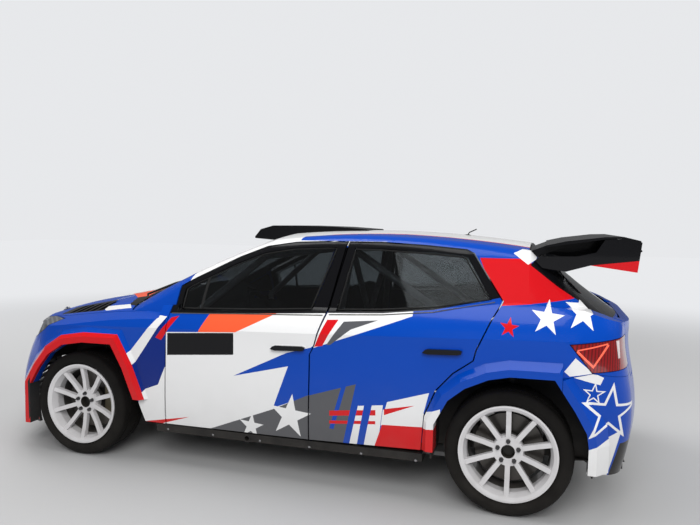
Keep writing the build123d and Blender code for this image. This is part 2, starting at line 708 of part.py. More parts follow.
# Wheelhouses with the front rails and strut towers, and the rear side boxes
with BuildPart() as front_house:
    add(common(FRONT_WHEELHOUSE, block(776, 1585, 400, 790, 262, 900)))
    add(block(776, 1640, 430, WELL_IN_Y - WELL_T, 330, 440))
    add(rod(king_point(586), king_point(613), 40))
    add(rod(king_point(570), king_point(640), KINGPIN_R + 1.5), mode=Mode.SUBTRACT)
finish(both_sides(front_house.part), "front_wheelhouses")

with BuildPart() as rear_house:
    add(common(REAR_WHEELHOUSE, block(-1762, -918, 500, 785, 212, 900)))
    add(block(-1520, -1180, 500, 545, 200, 447), mode=Mode.SUBTRACT)
finish(both_sides(rear_house.part), "rear_wheelhouses")

with BuildPart() as engine:
    add(block(1260, 1600, -330, 330, 265, 720))
finish(engine.part, "engine_block")

GUARD_SIDE = ((700, 150), (1600, 136), (1890, 152), (1890, 163), (1600, 148), (760, 165), (700, 165))
with BuildPart() as guard:
    add(side_prism(GUARD_SIDE, -420, 420))
    add(block(1790, 1870, -336, -324, 84, 145))
    add(rod((TOW_FRONT[0], -350, TOW_FRONT[1]), (TOW_FRONT[0], -310, TOW_FRONT[1]), 18), mode=Mode.SUBTRACT)
finish(guard.part, "sump_guard")

# Wheels, turned about their axles: (offset from the wheel's middle, radius) outward along the axle
SPOKES = 10
SPOKE_HALF = 12.5
HUB_R = 74.0
CENTRE_BORE_R = 34.0
RIM_PROFILE = (
    (-108, 246), (-99, 246), (-98, 230), (-84, 228), (84, 228), (98, 230), (99, 246), (108, 246),
    (108, 238), (98, 222), (60, 208), (-84, 208), (-98, 222), (-108, 238),
)
HUB_PROFILE = ((-40, CENTRE_BORE_R), (-40, 80), (44, 80), (60, HUB_R), (60, CENTRE_BORE_R))
DISC_PROFILE = ((-52, 70), (-52, 177), (-20, 177), (-20, 70))
TYRE_PROFILE = (
    (-96, 232), (-97, 248), (-113, 264), (-117, 282), (-109, 305), (-92, 317), (-60, 320),
    (60, 320), (92, 317), (109, 305), (117, 282), (113, 264), (97, 248), (96, 232),
)


def axle_plane(x, y):
    # Section plane for revolving: local x outward along the axle, local y is radius
    return Plane(origin=(x, y, TYRE_R), x_dir=(0, 1, 0), z_dir=(1, 0, 0))


def wheel_at(x):
    with BuildPart() as wheel:
        with BuildSketch(axle_plane(x, WHEEL_Y)):
            for profile in (RIM_PROFILE, HUB_PROFILE, DISC_PROFILE):
                with BuildLine():
                    Polyline(*profile, close=True)
                make_face()
        revolve(axis=Axis((x, WHEEL_Y, TYRE_R), (0, 1, 0)))
        for index in range(SPOKES):
            angle = math.radians(360 * index / SPOKES)
            spoke_plane = Plane(
                origin=(x, WHEEL_Y, TYRE_R), x_dir=(0, 1, 0), z_dir=(math.cos(angle), 0, math.sin(angle)),
            )
            with BuildSketch(spoke_plane):
                with BuildLine():
                    Polyline((30, 62), (60, 62), (70, 140), (92, 222), (62, 222), close=True)
                make_face()
            extrude(amount=SPOKE_HALF, both=True)
    return wheel.part


def tyre_at(x):
    with BuildPart() as tyre:
        with BuildSketch(axle_plane(x, WHEEL_Y)):
            with BuildLine():
                Polyline(*TYRE_PROFILE, close=True)
            make_face()
        revolve(axis=Axis((x, WHEEL_Y, TYRE_R), (0, 1, 0)))
    return tyre.part


for stem, axle_x in (("front", FRONT_AXLE_X), ("rear", REAR_AXLE_X)):
    export_pair(wheel_at(axle_x), f"wheel_{stem}")
    export_pair(tyre_at(axle_x), f"tyre_{stem}")

# Front knuckle with hub, brake caliper and strut, turning about the kingpin
DISC_CLEAR = 5.0
CALIPER_BLOCK = block(FRONT_AXLE_X - 214, FRONT_AXLE_X - 112, 690, 802, 260, 420)


def axle_rod(y_in, y_out, radius):
    return rod((FRONT_AXLE_X, y_in, TYRE_R), (FRONT_AXLE_X, y_out, TYRE_R), radius)


with BuildPart() as knuckle:
    add(axle_rod(672, 728, 52))
    add(rod(king_point(-18), king_point(60), KINGPIN_R))
    add(rod(king_point(26), king_point(120), 30))
    add(rod(king_point(110), king_point(330), 27))
    add(rod(king_point(330), king_point(342), 44))
    add(rod(king_point(340), king_point(572), 26))
    add(rod(king_point(560), king_point(572), 58))
    add(rod(king_point(560), king_point(606), KINGPIN_R))
    add(rod((FRONT_AXLE_X, 690, TYRE_R), (FRONT_AXLE_X - 120, 690, TYRE_R + 20), 16))
    add(cut(
        common(CALIPER_BLOCK, axle_rod(600, 900, 198)),
        axle_rod(WHEEL_Y - 52 - DISC_CLEAR, WHEEL_Y - 20 + DISC_CLEAR, 184),
        axle_rod(WHEEL_Y - 60, 900, 96),
    ))
export_pair(knuckle.part, "knuckle_front")

# Front subframe and lower arms
with BuildPart() as front_arms:
    add(block(1090, 1240, -1, 400, 190, 250))
    add(rod((1120, 400, 215), (FRONT_AXLE_X, 682, 190), 17))
    add(rod((1330, 340, 215), (FRONT_AXLE_X, 682, 190), 17))
    add(rod((1210, -1, 220), (1330, 345, 215), 20))
    add(rod(king_point(-10), king_point(14), 24))
    add(rod(king_point(-40), king_point(22), KINGPIN_R + 1.5), mode=Mode.SUBTRACT)
front_pair = both_sides(front_arms.part)
finish(front_pair, "front_suspension")

# Rear subframe, differential, arms, uprights and struts
with BuildPart() as rear_arms:
    add(block(-1420, -1280, -1, 90, 250, 390))
    add(block(-1470, -1230, -1, 330, 212, 250))
    add(rod((REAR_AXLE_X, 0, TYRE_R), (REAR_AXLE_X, 690, TYRE_R), 15))
    add(rod((-1240, 300, 232), (REAR_AXLE_X, 700, 230), 15))
    add(rod((-1460, 300, 232), (REAR_AXLE_X, 700, 230), 15))
    add(rod((REAR_AXLE_X, 672, TYRE_R), (REAR_AXLE_X, 728, TYRE_R), 52))
    add(rod((REAR_AXLE_X, 700, 215), (REAR_AXLE_X, 690, 400), 26))
    add(rod((REAR_AXLE_X, 690, 380), (REAR_AXLE_X, 612, 728), 28))
    add(block(-1470, -1440, 250, 330, 245, 448))
    add(block(REAR_AXLE_X + 120, REAR_AXLE_X + 190, 700, 722, 280, 400))
    add(rod((REAR_AXLE_X, 700, TYRE_R), (REAR_AXLE_X + 150, 710, TYRE_R + 20), 14))
finish(both_sides(rear_arms.part), "rear_suspension")

# Roll cage
CAGE_R = 22.5
CAGE_RUNS = (
    ((-330, 560, 187), (-352, 570, 900), (-400, 492, 1310), (-400, 0, 1345)),
    ((575, 556, 187), (600, 575, 880), (165, 470, 1250), (-400, 480, 1325)),
    ((165, 470, 1250), (150, 0, 1290)),
    ((-400, 480, 1312), (-1080, 460, 860), (-1250, 450, 530), (-1250, 450, 470)),
    ((575, 572, 330), (-330, 574, 620)),
    ((585, 574, 620), (-330, 572, 330)),
    ((597, 572, 790), (597, 0, 800)),
)
with BuildPart() as cage:
    for run in CAGE_RUNS:
        add(tube(run, CAGE_R))
    add(rod((-400, 480, 1312), (-352, -560, 300), CAGE_R - 3))
    add([block(-420, 620, -1000, 0, 100, 1400), block(-420, 620, -1, 700, 100, 187)], mode=Mode.SUBTRACT)
finish(both_sides(cage.part), "roll_cage")

# Bucket seats
SEAT_Y = 350.0
SEAT_SIDE = (
    (350, 262), (-60, 212), (-130, 262), (-290, 900), (-278, 1020), (-218, 1030), (-150, 880), (10, 440),
    (340, 400),
)
SEAT_HOLLOW = ((380, 312), (-30, 272), (-80, 312), (-245, 940), (-80, 1100), (520, 1100), (520, 312))
with BuildPart() as seats:
    add(side_prism(SEAT_SIDE, SEAT_Y - 186, SEAT_Y + 186, corner=20))
    add(side_prism(SEAT_HOLLOW, SEAT_Y - 162, SEAT_Y + 162, corner=20), mode=Mode.SUBTRACT)
    add(block(-40, 240, SEAT_Y - 180, SEAT_Y - 160, FLOOR_Z + FLOOR_T, 262))
    add(block(-40, 240, SEAT_Y + 160, SEAT_Y + 180, FLOOR_Z + FLOOR_T, 262))
finish(both_sides(seats.part), "seats")

# Dashboard and steering wheel
DASH_SIDE = ((750, 640), (480, 660), (440, 760), (450, 820), (520, 847), (750, 849))
DASH_ROOM = ((780, 652), (490, 672), (453, 762), (462, 812), (524, 840), (780, 842))
with BuildPart() as dash:
    add(side_prism(DASH_SIDE, 0, 528, corner=15))
    add(side_prism(DASH_ROOM, -1, 540), mode=Mode.SUBTRACT)
finish(both_sides(dash.part), "dashboard")

STEER_WHEEL = (250.0, SEAT_Y, 850.0)
COLUMN_TILT = 24.0
COLUMN_DIR = Vector(math.cos(math.radians(COLUMN_TILT)), 0, -math.sin(math.radians(COLUMN_TILT)))
with BuildPart() as steering:
    ring_plane = Plane(origin=STEER_WHEEL, x_dir=(0, 1, 0), z_dir=COLUMN_DIR)
    with BuildSketch(Plane(origin=STEER_WHEEL, x_dir=(0, 1, 0), z_dir=ring_plane.x_dir.cross(COLUMN_DIR))):
        with Locations((160, 0)):
            Circle(15)
    revolve(axis=Axis(STEER_WHEEL, tuple(COLUMN_DIR)), revolution_arc=360)
    for across, down, width, height in ((80, 0, 165, 26), (-80, 0, 165, 26), (0, -80, 26, 165)):
        with BuildSketch(ring_plane):
            with Locations((across, down)):
                Rectangle(width, height)
        extrude(amount=5)
    with BuildSketch(ring_plane):
        Circle(42)
    extrude(amount=40)
    with BuildSketch(ring_plane):
        Circle(20)
    extrude(amount=185)
finish(steering.part, "steering_wheel")

# Silencer and tail pipe
with BuildPart() as exhaust:
    add(block(-1720, -1680, -310, -290, 380, 448))
    add(rod((-1500, -300, 330), (-1890, -300, 330), 70))
    add(rod((-1880, -300, 330), (-1972, -300, 330), 36))
    add(rod((-1900, -300, 330), (-1980, -300, 330), 32), mode=Mode.SUBTRACT)
finish(exhaust.part, "exhaust")
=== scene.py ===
import math

import bmesh
import bpy
from bpy.props import FloatProperty, FloatVectorProperty, IntProperty, PointerProperty
from mathutils import Matrix, Vector
from mathutils.bvhtree import BVHTree


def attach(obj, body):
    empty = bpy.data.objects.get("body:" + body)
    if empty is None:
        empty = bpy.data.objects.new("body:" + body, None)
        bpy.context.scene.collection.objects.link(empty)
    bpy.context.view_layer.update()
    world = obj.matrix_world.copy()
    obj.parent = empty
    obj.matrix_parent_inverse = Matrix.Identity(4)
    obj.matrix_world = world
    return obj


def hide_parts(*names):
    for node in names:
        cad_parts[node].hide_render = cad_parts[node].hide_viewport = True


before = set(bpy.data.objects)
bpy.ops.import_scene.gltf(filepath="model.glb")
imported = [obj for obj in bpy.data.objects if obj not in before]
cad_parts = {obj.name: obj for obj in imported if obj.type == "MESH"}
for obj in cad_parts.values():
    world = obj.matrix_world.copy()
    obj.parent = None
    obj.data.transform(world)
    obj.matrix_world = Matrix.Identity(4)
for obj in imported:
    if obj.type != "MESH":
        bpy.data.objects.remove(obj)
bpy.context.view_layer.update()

bl_info = {
    "name": "Rally hatchback finish",
    "version": (1, 0, 0),
    "blender": (4, 5, 0),
    "location": "View3D > Sidebar > Rally car",
    "description": "Paint, glazing, wheels, cabin and trim for the rally hatchback",
    "category": "Object",
}

SIDES = (("left", 1.0), ("right", -1.0))
AXLES = (("front", 1.220), ("rear", -1.350))
WHEEL_Y = 0.7875
WHEEL_Z = 0.320
SEAT_Y = 0.350
# Past these distances from the middle, a panel is only the trim of a wheel arch, or a door handle
FLARE_TRIM_Y = 0.885
HANDLE_Y = 0.8795

ACROSS = (0, 1, 0)
UP = (0, 0, 1)
SIDE_VIEW = (1, 0, 1)
TOP_VIEW = (1, 1, 0)
FULL_TURN = 2 * math.pi
NO_LIGHT = (0.0, 0.0, 0.0)
TRIM_DUST = (0.20, 0.18, 0.155)
PAINT_DUST = (0.22, 0.20, 0.17)
WHEEL_DUST = (0.16, 0.14, 0.12)


def colour_prop(name, description, default):
    return FloatVectorProperty(
        name=name, description=description, default=default, subtype="COLOR", min=0.0, max=1.0,
    )


def length_prop(name, description, default):
    return FloatProperty(name=name, description=description, default=default, unit="LENGTH", min=0.0)


class PaintSettings(bpy.types.PropertyGroup):
    blue: colour_prop("Blue", "Main livery blue", (0.0, 0.050, 0.37))
    deep_blue: colour_prop("Deep blue", "Darker blue behind the front wheel", (0.0, 0.016, 0.17))
    white: colour_prop("White", "Livery white", (0.72, 0.72, 0.72))
    red: colour_prop("Red", "Livery red", (0.56, 0.006, 0.010))
    orange: colour_prop("Orange red", "Wedges below the front window and on the bonnet", (0.86, 0.10, 0.035))
    grey: colour_prop("Grey", "Grey wedge above the sill", (0.085, 0.087, 0.095))
    black: colour_prop("Black", "Gloss black of frames, wing and skirts", (0.0045, 0.0045, 0.0055))
    # Near black on faces that look into the car: painted shade inside the cabin, and the real black of the
    # wheel-arch liners
    inner: colour_prop("Inner faces", "Painted shade inside the panels, and black arch liners", (0.022, 0.023, 0.026))
    coat: FloatProperty(
        name="Clear coat", description="Weight of the clear coat", default=0.18, subtype="FACTOR",
        min=0.0, max=1.0,
    )


class GlassSettings(bpy.types.PropertyGroup):
    tint: colour_prop("Tint", "Colour of the window glass", (0.20, 0.22, 0.23))
    wiper: length_prop("Long wiper", "Reach of the long wiper across the windscreen", 0.56)
    short_wiper: length_prop("Short wiper", "Reach of the short wiper across the windscreen", 0.34)


class LampSettings(bpy.types.PropertyGroup):
    lens_red: colour_prop("Lens red", "Tail lamp lens", (0.26, 0.002, 0.004))
    blade: colour_prop("Light blade", "Bright line inside the tail lamp", (0.85, 0.13, 0.07))
    chrome: colour_prop("Bright trim", "Belt strips below the windows", (0.55, 0.54, 0.50))


class WheelSettings(bpy.types.PropertyGroup):
    rim: colour_prop("Rim", "Wheel paint", (0.66, 0.65, 0.66))
    rubber: colour_prop("Rubber", "Tyre rubber", (0.0045, 0.0042, 0.0042))
    groove: length_prop("Groove depth", "Depth of the tread grooves", 0.006)
    blocks: IntProperty(
        name="Tread blocks", description="Tread blocks round a tyre", default=72, min=12, max=144,
    )


class CabinSettings(bpy.types.PropertyGroup):
    fabric: colour_prop("Seat fabric", "Cover of the bucket seats", (0.016, 0.016, 0.018))
    belt: colour_prop("Belts", "Harness webbing", (0.50, 0.012, 0.014))
    cage: colour_prop("Cage", "Roll cage paint", (0.50, 0.50, 0.51))


class StageSettings(bpy.types.PropertyGroup):
    floor: colour_prop("Floor", "Pale floor", (0.42, 0.42, 0.42))
    backdrop: colour_prop("Backdrop", "Pale background", (0.80, 0.81, 0.83))
    key: FloatProperty(
        name="Light power", description="Power that each lamp takes a share of", default=560.0, unit="POWER",
        min=0.0,
    )


# Node helpers

def link_or_set(tree, value, socket):
    # Joins the socket to another node's output, or gives it a plain value
    if isinstance(value, bpy.types.NodeSocket):
        tree.links.new(value, socket)
    elif value is not None:
        socket.default_value = value


def math_node(tree, operation, first, second=None):
    node = tree.nodes.new("ShaderNodeMath")
    node.operation = operation
    link_or_set(tree, first, node.inputs[0])
    link_or_set(tree, second, node.inputs[1])
    return node.outputs[0]


def vector_node(tree, operation, first, second=None):
    node = tree.nodes.new("ShaderNodeVectorMath")
    node.operation = operation
    link_or_set(tree, first, node.inputs[0])
    link_or_set(tree, second, node.inputs[1])
    return node.outputs["Value"] if operation in ("DOT_PRODUCT", "LENGTH") else node.outputs[0]


def along_axis(tree, position, axis):
    return vector_node(tree, "DOT_PRODUCT", position, axis)


def noise_node(tree, position, scale, detail):
    node = tree.nodes.new("ShaderNodeTexNoise")
    tree.links.new(position, node.inputs["Vector"])
    link_or_set(tree, scale, node.inputs["Scale"])
    node.inputs["Detail"].default_value = detail
    return node.outputs["Fac"]


def mix_colour(tree, mask, first, second):
    node = tree.nodes.new("ShaderNodeMix")
    node.data_type = "RGBA"
    sockets = {socket.name: socket for socket in node.inputs if socket.enabled}
    tree.links.new(mask, sockets["Factor"])
    for label, colour in (("A", first), ("B", second)):
        link_or_set(tree, (*colour, 1.0) if isinstance(colour, tuple) else colour, sockets[label])
    return next(socket for socket in node.outputs if socket.enabled)


VECTOR = "NodeSocketVector"
NUMBER = "NodeSocketFloat"
POSITION = ("Position", VECTOR, None)


def shader_group(name, inputs, outputs):
    # For a function that fills a node group: the group is built once and then shared
    def wrap(fill):
        def shared():
            if name not in bpy.data.node_groups:
                group = bpy.data.node_groups.new(name, "ShaderNodeTree")
                for label, kind, default in inputs:
                    socket = group.interface.new_socket(label, in_out="INPUT", socket_type=kind)
                    if default is not None:
                        socket.default_value = default
                for label in outputs:
                    group.interface.new_socket(label, in_out="OUTPUT", socket_type=NUMBER)
                start = group.nodes.new("NodeGroupInput").outputs
                end = group.nodes.new("NodeGroupOutput").inputs
                fill(group, start, end)
            return bpy.data.node_groups[name]
        return shared
    return wrap


CORNERS = ("Corner A", "Corner B", "Corner C", "Corner D")


@shader_group(
    "Livery patch",
    [POSITION, ("Keep", VECTOR, SIDE_VIEW)] + [(corner, VECTOR, None) for corner in CORNERS],
    ["Mask"],
)
def patch_group(group, start, end):
    # A flat patch with four corners, seen along the axis that Keep drops
    flat = vector_node(group, "MULTIPLY", start["Position"], start["Keep"])
    drop = vector_node(group, "SUBTRACT", (1, 1, 1), start["Keep"])
    inside = None
    for first, second in zip(CORNERS, CORNERS[1:] + CORNERS[:1]):
        edge = vector_node(group, "SUBTRACT", start[second], start[first])
        reach = vector_node(group, "SUBTRACT", flat, start[first])
        turn = vector_node(group, "DOT_PRODUCT", vector_node(group, "CROSS_PRODUCT", edge, reach), drop)
        test = math_node(group, "GREATER_THAN", turn, 0.0)
        inside = test if inside is None else math_node(group, "MULTIPLY", inside, test)
    group.links.new(inside, end["Mask"])


STAR_POINTS = 5
STAR_STEP = 72
STAR_TILT = 6


@shader_group("Livery star", [POSITION, ("Centre", VECTOR, None), ("Radius", NUMBER, 0.1)], ["Mask"])
def star_group(group, start, end):
    # Five-pointed star in the side view: inside at least four of its five edge lines
    offset = vector_node(group, "SUBTRACT", start["Position"], start["Centre"])
    limit = math_node(group, "MULTIPLY", start["Radius"], math.cos(math.radians(STAR_STEP)))
    total = None
    for index in range(STAR_POINTS):
        angle = math.radians(90 + STAR_TILT + STAR_STEP * index)
        reach = along_axis(group, offset, (math.cos(angle), 0, math.sin(angle)))
        test = math_node(group, "LESS_THAN", reach, limit)
        total = test if total is None else math_node(group, "ADD", total, test)
    group.links.new(math_node(group, "GREATER_THAN", total, STAR_POINTS - 1.5), end["Mask"])


@shader_group("Road dust", [POSITION, ("Top", NUMBER, 0.7), ("Amount", NUMBER, 0.3)], ["Mask"])
def dust_group(group, start, end):
    # Road dust: thicker near the ground, broken up by noise
    height = along_axis(group, start["Position"], UP)
    low = math_node(group, "SUBTRACT", 1.0, math_node(group, "DIVIDE", height, start["Top"]))
    low = math_node(group, "POWER", math_node(group, "MAXIMUM", low, 0.0), 1.6)
    noise = noise_node(group, start["Position"], 9.0, 6.0)
    mask = math_node(group, "MULTIPLY", math_node(group, "MULTIPLY", low, noise), start["Amount"])
    group.links.new(math_node(group, "MULTIPLY", mask, 2.0), end["Mask"])


@shader_group(
    "Surface grain",
    [
        POSITION, ("Fine scale", NUMBER, 400.0), ("Roughness low", NUMBER, 0.2),
        ("Roughness high", NUMBER, 0.35),
    ],
    ["Height", "Roughness"],
)
def grain_group(group, start, end):
    # Fine surface grain for a Bump node, with a slow variation for roughness
    fine = noise_node(group, start["Position"], start["Fine scale"], 2.0)
    slow = noise_node(group, start["Position"], 5.0, 4.0)
    low = start["Roughness low"]
    span = math_node(group, "SUBTRACT", start["Roughness high"], low)
    group.links.new(fine, end["Height"])
    group.links.new(math_node(group, "ADD", math_node(group, "MULTIPLY", slow, span), low), end["Roughness"])


@shader_group("Lens ribs", [POSITION, ("Ribs per metre", NUMBER, 50.0)], ["Mask"])
def ribs_group(group, start, end):
    # Fine upright ribs, as moulded behind a lens
    along = along_axis(group, start["Position"], (0.7, 0.7, 0.15))
    turns = math_node(group, "MULTIPLY", along, start["Ribs per metre"])
    wave = math_node(group, "SINE", math_node(group, "MULTIPLY", turns, FULL_TURN))
    group.links.new(math_node(group, "GREATER_THAN", wave, 0.2), end["Mask"])


@shader_group("Woven threads", [POSITION, ("Thread scale", NUMBER, 2400.0)], ["Height", "Mask"])
def weave_group(group, start, end):
    # Woven cloth: two crossed waves give the threads
    waves = []
    for direction in ((1, 0, 0.4), (0.2, 1, 0.7)):
        along = along_axis(group, start["Position"], direction)
        waves.append(math_node(group, "SINE", math_node(group, "MULTIPLY", along, start["Thread scale"])))
    weave = math_node(group, "MULTIPLY", *waves)
    group.links.new(weave, end["Height"])
    group.links.new(math_node(group, "GREATER_THAN", weave, 0.25), end["Mask"])


@shader_group("Inner face", [("Direction", VECTOR, (0, -1, 0))], ["Mask"])
def inward_shade_group(group, start, end):
    # Faces that look into the car, on either side of it, which the livery paints near black as painted shade
    coords = group.nodes.new("ShaderNodeTexCoord")
    split = group.nodes.new("ShaderNodeSeparateXYZ")
    group.links.new(coords.outputs["Object"], split.inputs[0])
    turn = group.nodes.new("ShaderNodeCombineXYZ")
    turn.inputs["X"].default_value = 1.0
    turn.inputs["Z"].default_value = 1.0
    group.links.new(math_node(group, "SIGN", split.outputs["Y"]), turn.inputs["Y"])
    folded = vector_node(group, "MULTIPLY", coords.outputs["Normal"], turn.outputs[0])
    facing = vector_node(group, "DOT_PRODUCT", folded, start["Direction"])
    group.links.new(math_node(group, "GREATER_THAN", facing, 0.45), end["Mask"])


def place(tree, group, position, **values):
    node = tree.nodes.new("ShaderNodeGroup")
    node.node_tree = group
    if position is not None:
        tree.links.new(position, node.inputs["Position"])
    for label, value in values.items():
        node.inputs[label.replace("_", " ")].default_value = value
    return node.outputs


def folded_position(tree):
    # Object position with the right side folded onto the left
    coords = tree.nodes.new("ShaderNodeTexCoord")
    split = tree.nodes.new("ShaderNodeSeparateXYZ")
    tree.links.new(coords.outputs["Object"], split.inputs[0])
    joined = tree.nodes.new("ShaderNodeCombineXYZ")
    tree.links.new(split.outputs["X"], joined.inputs["X"])
    tree.links.new(math_node(tree, "ABSOLUTE", split.outputs["Y"]), joined.inputs["Y"])
    tree.links.new(split.outputs["Z"], joined.inputs["Z"])
    return joined.outputs[0]


def new_material(name, **shader_values):
    material = bpy.data.materials.new(name)
    material.use_nodes = True
    shader = material.node_tree.nodes["Principled BSDF"]
    for label, value in shader_values.items():
        socket = shader.inputs[label.replace("_", " ")]
        socket.default_value = (*value, 1.0) if socket.type == "RGBA" else value
    return material, material.node_tree, shader


def add_bump(tree, shader, height, strength, distance=0.001):
    bump = tree.nodes.new("ShaderNodeBump")
    bump.inputs["Strength"].default_value = strength
    bump.inputs["Distance"].default_value = distance
    tree.links.new(height, bump.inputs["Height"])
    tree.links.new(bump.outputs["Normal"], shader.inputs["Normal"])


def rough_and_bump(tree, shader, position, low, high, fine=400.0, strength=0.05):
    grain = place(tree, grain_group(), position, Fine_scale=fine, Roughness_low=low, Roughness_high=high)
    tree.links.new(grain["Roughness"], shader.inputs["Roughness"])
    add_bump(tree, shader, grain["Height"], strength)


def dusty(tree, shader, position, colour, dust_colour, dust_top, amount):
    # The colour under road dust, as the material's base colour
    dirt = place(tree, dust_group(), position, Top=dust_top, Amount=amount)
    tree.links.new(mix_colour(tree, dirt["Mask"], colour, dust_colour), shader.inputs["Base Color"])


def plain_finish(
    name, colour, low, high, fine=400.0, strength=0.05, dust=0.15, dust_top=0.8, **shader_values,
):
    # One colour with grain, slow roughness variation and a little dust
    material, tree, shader = new_material(name, **shader_values)
    position = folded_position(tree)
    dusty(tree, shader, position, tuple(colour), TRIM_DUST, dust_top, dust)
    rough_and_bump(tree, shader, position, low, high, fine, strength)
    return material


def knit_material(name, colour, thread_scale):
    material, tree, shader = new_material(name, Roughness=0.85, Sheen_Weight=0.3)
    weave = place(tree, weave_group(), folded_position(tree), Thread_scale=thread_scale)
    add_bump(tree, shader, weave["Height"], 0.35)
    colour = tuple(colour)
    raised = tuple(min(1.0, channel * 1.7 + 0.004) for channel in colour)
    tree.links.new(mix_colour(tree, weave["Mask"], colour, raised), shader.inputs["Base Color"])
    return material


# Livery shapes: patches in the side or top view, stars, balls, and limits on where the panel is

def side(*corners):
    return "side", corners


def top(*corners):
    return "top", corners


def star(x, z, radius):
    return "star", (x, z, radius)


def ball(x, y, z, radius):
    # Round patch where a ball meets the panel
    return "ball", (x, y, z, radius)


def beyond(distance):
    # Part of the panel that stands out past this distance from the middle
    return "beyond", distance


def within(distance):
    # Part of the panel that is nearer to the middle than this distance
    return "within", distance


def below(height):
    return "below", height


LIMITS = {"beyond": (ACROSS, "GREATER_THAN"), "within": (ACROSS, "LESS_THAN"), "below": (UP, "LESS_THAN")}


def counter_clockwise(corners):
    area = sum(a[0] * b[1] - b[0] * a[1] for a, b in zip(corners, corners[1:] + corners[:1]))
    return corners if area > 0 else corners[::-1]


def layer_mask(tree, position, kind, shape):
    if kind == "star":
        x, z, radius = shape
        return place(tree, star_group(), position, Centre=(x, 0, z), Radius=radius)["Mask"]
    if kind in LIMITS:
        axis, test = LIMITS[kind]
        return math_node(tree, test, along_axis(tree, position, axis), shape)
    if kind == "ball":
        *centre, radius = shape
        away = vector_node(tree, "LENGTH", vector_node(tree, "SUBTRACT", position, tuple(centre)))
        return math_node(tree, "LESS_THAN", away, radius)
    if len(shape) == 3:
        # A triangle gets its fourth corner half way along the last edge
        shape = (*shape, tuple((a + b) / 2 for a, b in zip(shape[2], shape[0])))
    corners = counter_clockwise(shape)
    if kind == "side":
        # Seen with x to the right and z up the view runs along +Y, so the turn is reversed
        points, keep = [(x, 0, z) for x, z in corners[::-1]], SIDE_VIEW
    else:
        points, keep = [(x, y, 0) for x, y in corners], TOP_VIEW
    return place(tree, patch_group(), position, Keep=keep, **dict(zip(CORNERS, points)))["Mask"]


def livery_material(name, base, layers, inward):
    paint = bpy.context.scene.rally_paint
    material, tree, shader = new_material(
        name, Coat_Weight=paint.coat, Coat_Roughness=0.03, Metallic=0.0, Specular_IOR_Level=0.15,
    )
    position = folded_position(tree)
    colour = tuple(getattr(paint, base))
    for key, (kind, shape) in layers:
        mask = layer_mask(tree, position, kind, shape)
        colour = mix_colour(tree, mask, colour, tuple(getattr(paint, key)))
    # Faces that look into the car get the near-black inner colour as painted shade; in the wheel arches it is
    # also the black of the liners
    inner = place(tree, inward_shade_group(), None, Direction=inward)
    colour = mix_colour(tree, inner["Mask"], colour, tuple(paint.inner))
    dusty(tree, shader, position, colour, PAINT_DUST, dust_top=0.75, amount=0.16)
    rough_and_bump(tree, shader, position, 0.16, 0.26, fine=120.0, strength=0.012)
    return material


def pair(name):
    return tuple(f"{name}_{side_name}" for side_name, _ in SIDES)


def dress(material, *node_names):
    for name in node_names:
        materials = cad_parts[name].data.materials
        materials.clear()
        materials.append(material)


# Mesh helpers

def smooth_by_angle(obj, degrees=35.0):
    obj.data.polygons.foreach_set("use_smooth", [True] * len(obj.data.polygons))
    mesh = bmesh.new()
    mesh.from_mesh(obj.data)
    limit = math.radians(degrees)
    for edge in mesh.edges:
        if len(edge.link_faces) == 2:
            edge.smooth = edge.calc_face_angle(0.0) < limit
    mesh.to_mesh(obj.data)
    mesh.free()


def object_from(name, mesh, material):
    data = bpy.data.meshes.new(name)
    mesh.to_mesh(data)
    mesh.free()
    data.materials.append(material)
    obj = bpy.data.objects.new(name, data)
    bpy.context.scene.collection.objects.link(obj)
    return obj


def add_piece(name, mesh, material, body, smooth=True):
    bmesh.ops.recalc_face_normals(mesh, faces=mesh.faces)
    obj = object_from(name, mesh, material)
    if smooth:
        smooth_by_angle(obj)
    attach(obj, body)
    return obj


def ring_of(mesh, centre, u_axis, v_axis, radius, count):
    verts = []
    for index in range(count):
        angle = FULL_TURN * index / count
        spoke = u_axis * (radius * math.cos(angle)) + v_axis * (radius * math.sin(angle))
        verts.append(mesh.verts.new(centre + spoke))
    return verts


def bridge(mesh, first, second):
    count = len(first)
    for index in range(count):
        after = (index + 1) % count
        mesh.faces.new((first[index], first[after], second[after], second[index]))


def close_rings(mesh, rings):
    # Skin through the rings, with a face over each end
    for first, second in zip(rings[:-1], rings[1:]):
        bridge(mesh, first, second)
    mesh.faces.new(rings[0][::-1])
    mesh.faces.new(rings[-1])


def add_bar(mesh, points, radius, count=10):
    # Round bar through the points, closed at both ends
    points = [Vector(point) for point in points]
    rings = []
    # A slanted direction that none of the bars runs along
    up = Vector((0.12, 0.31, 0.94)).normalized()
    for index, point in enumerate(points):
        ahead = points[min(index + 1, len(points) - 1)] - points[max(index - 1, 0)]
        u_axis = ahead.normalized().cross(up).normalized()
        v_axis = ahead.cross(u_axis).normalized()
        rings.append(ring_of(mesh, point, u_axis, v_axis, radius, count))
    close_rings(mesh, rings)


def add_turned(mesh, centre, axis, profile, count=24):
    # Solid of revolution: profile rows are distance along the axis and radius
    axis = Vector(axis).normalized()
    u_axis = axis.orthogonal().normalized()
    v_axis = axis.cross(u_axis).normalized()
    centre = Vector(centre)
    close_rings(mesh, [
        ring_of(mesh, centre + axis * along, u_axis, v_axis, radius, count) for along, radius in profile
    ])


def add_slab(mesh, outline, offset):
    # Closed slab: an outline of points pushed along one offset
    low = [mesh.verts.new(Vector(point)) for point in outline]
    high = [mesh.verts.new(Vector(point) + Vector(offset)) for point in outline]
    close_rings(mesh, [low, high])


def add_plank(mesh, near, far, half_width, offset):
    # Slab between two points, with its width across the car
    near, far, across = Vector(near), Vector(far), Vector((0, half_width, 0))
    add_slab(mesh, (near - across, near + across, far + across, far - across), offset)


def surface_of(*node_names):
    verts, faces = [], []
    for name in node_names:
        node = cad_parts[name]
        start = len(verts)
        verts += [node.matrix_world @ vert.co for vert in node.data.vertices]
        faces += [[start + index for index in face.vertices] for face in node.data.polygons]
    return BVHTree.FromPolygons(verts, faces)


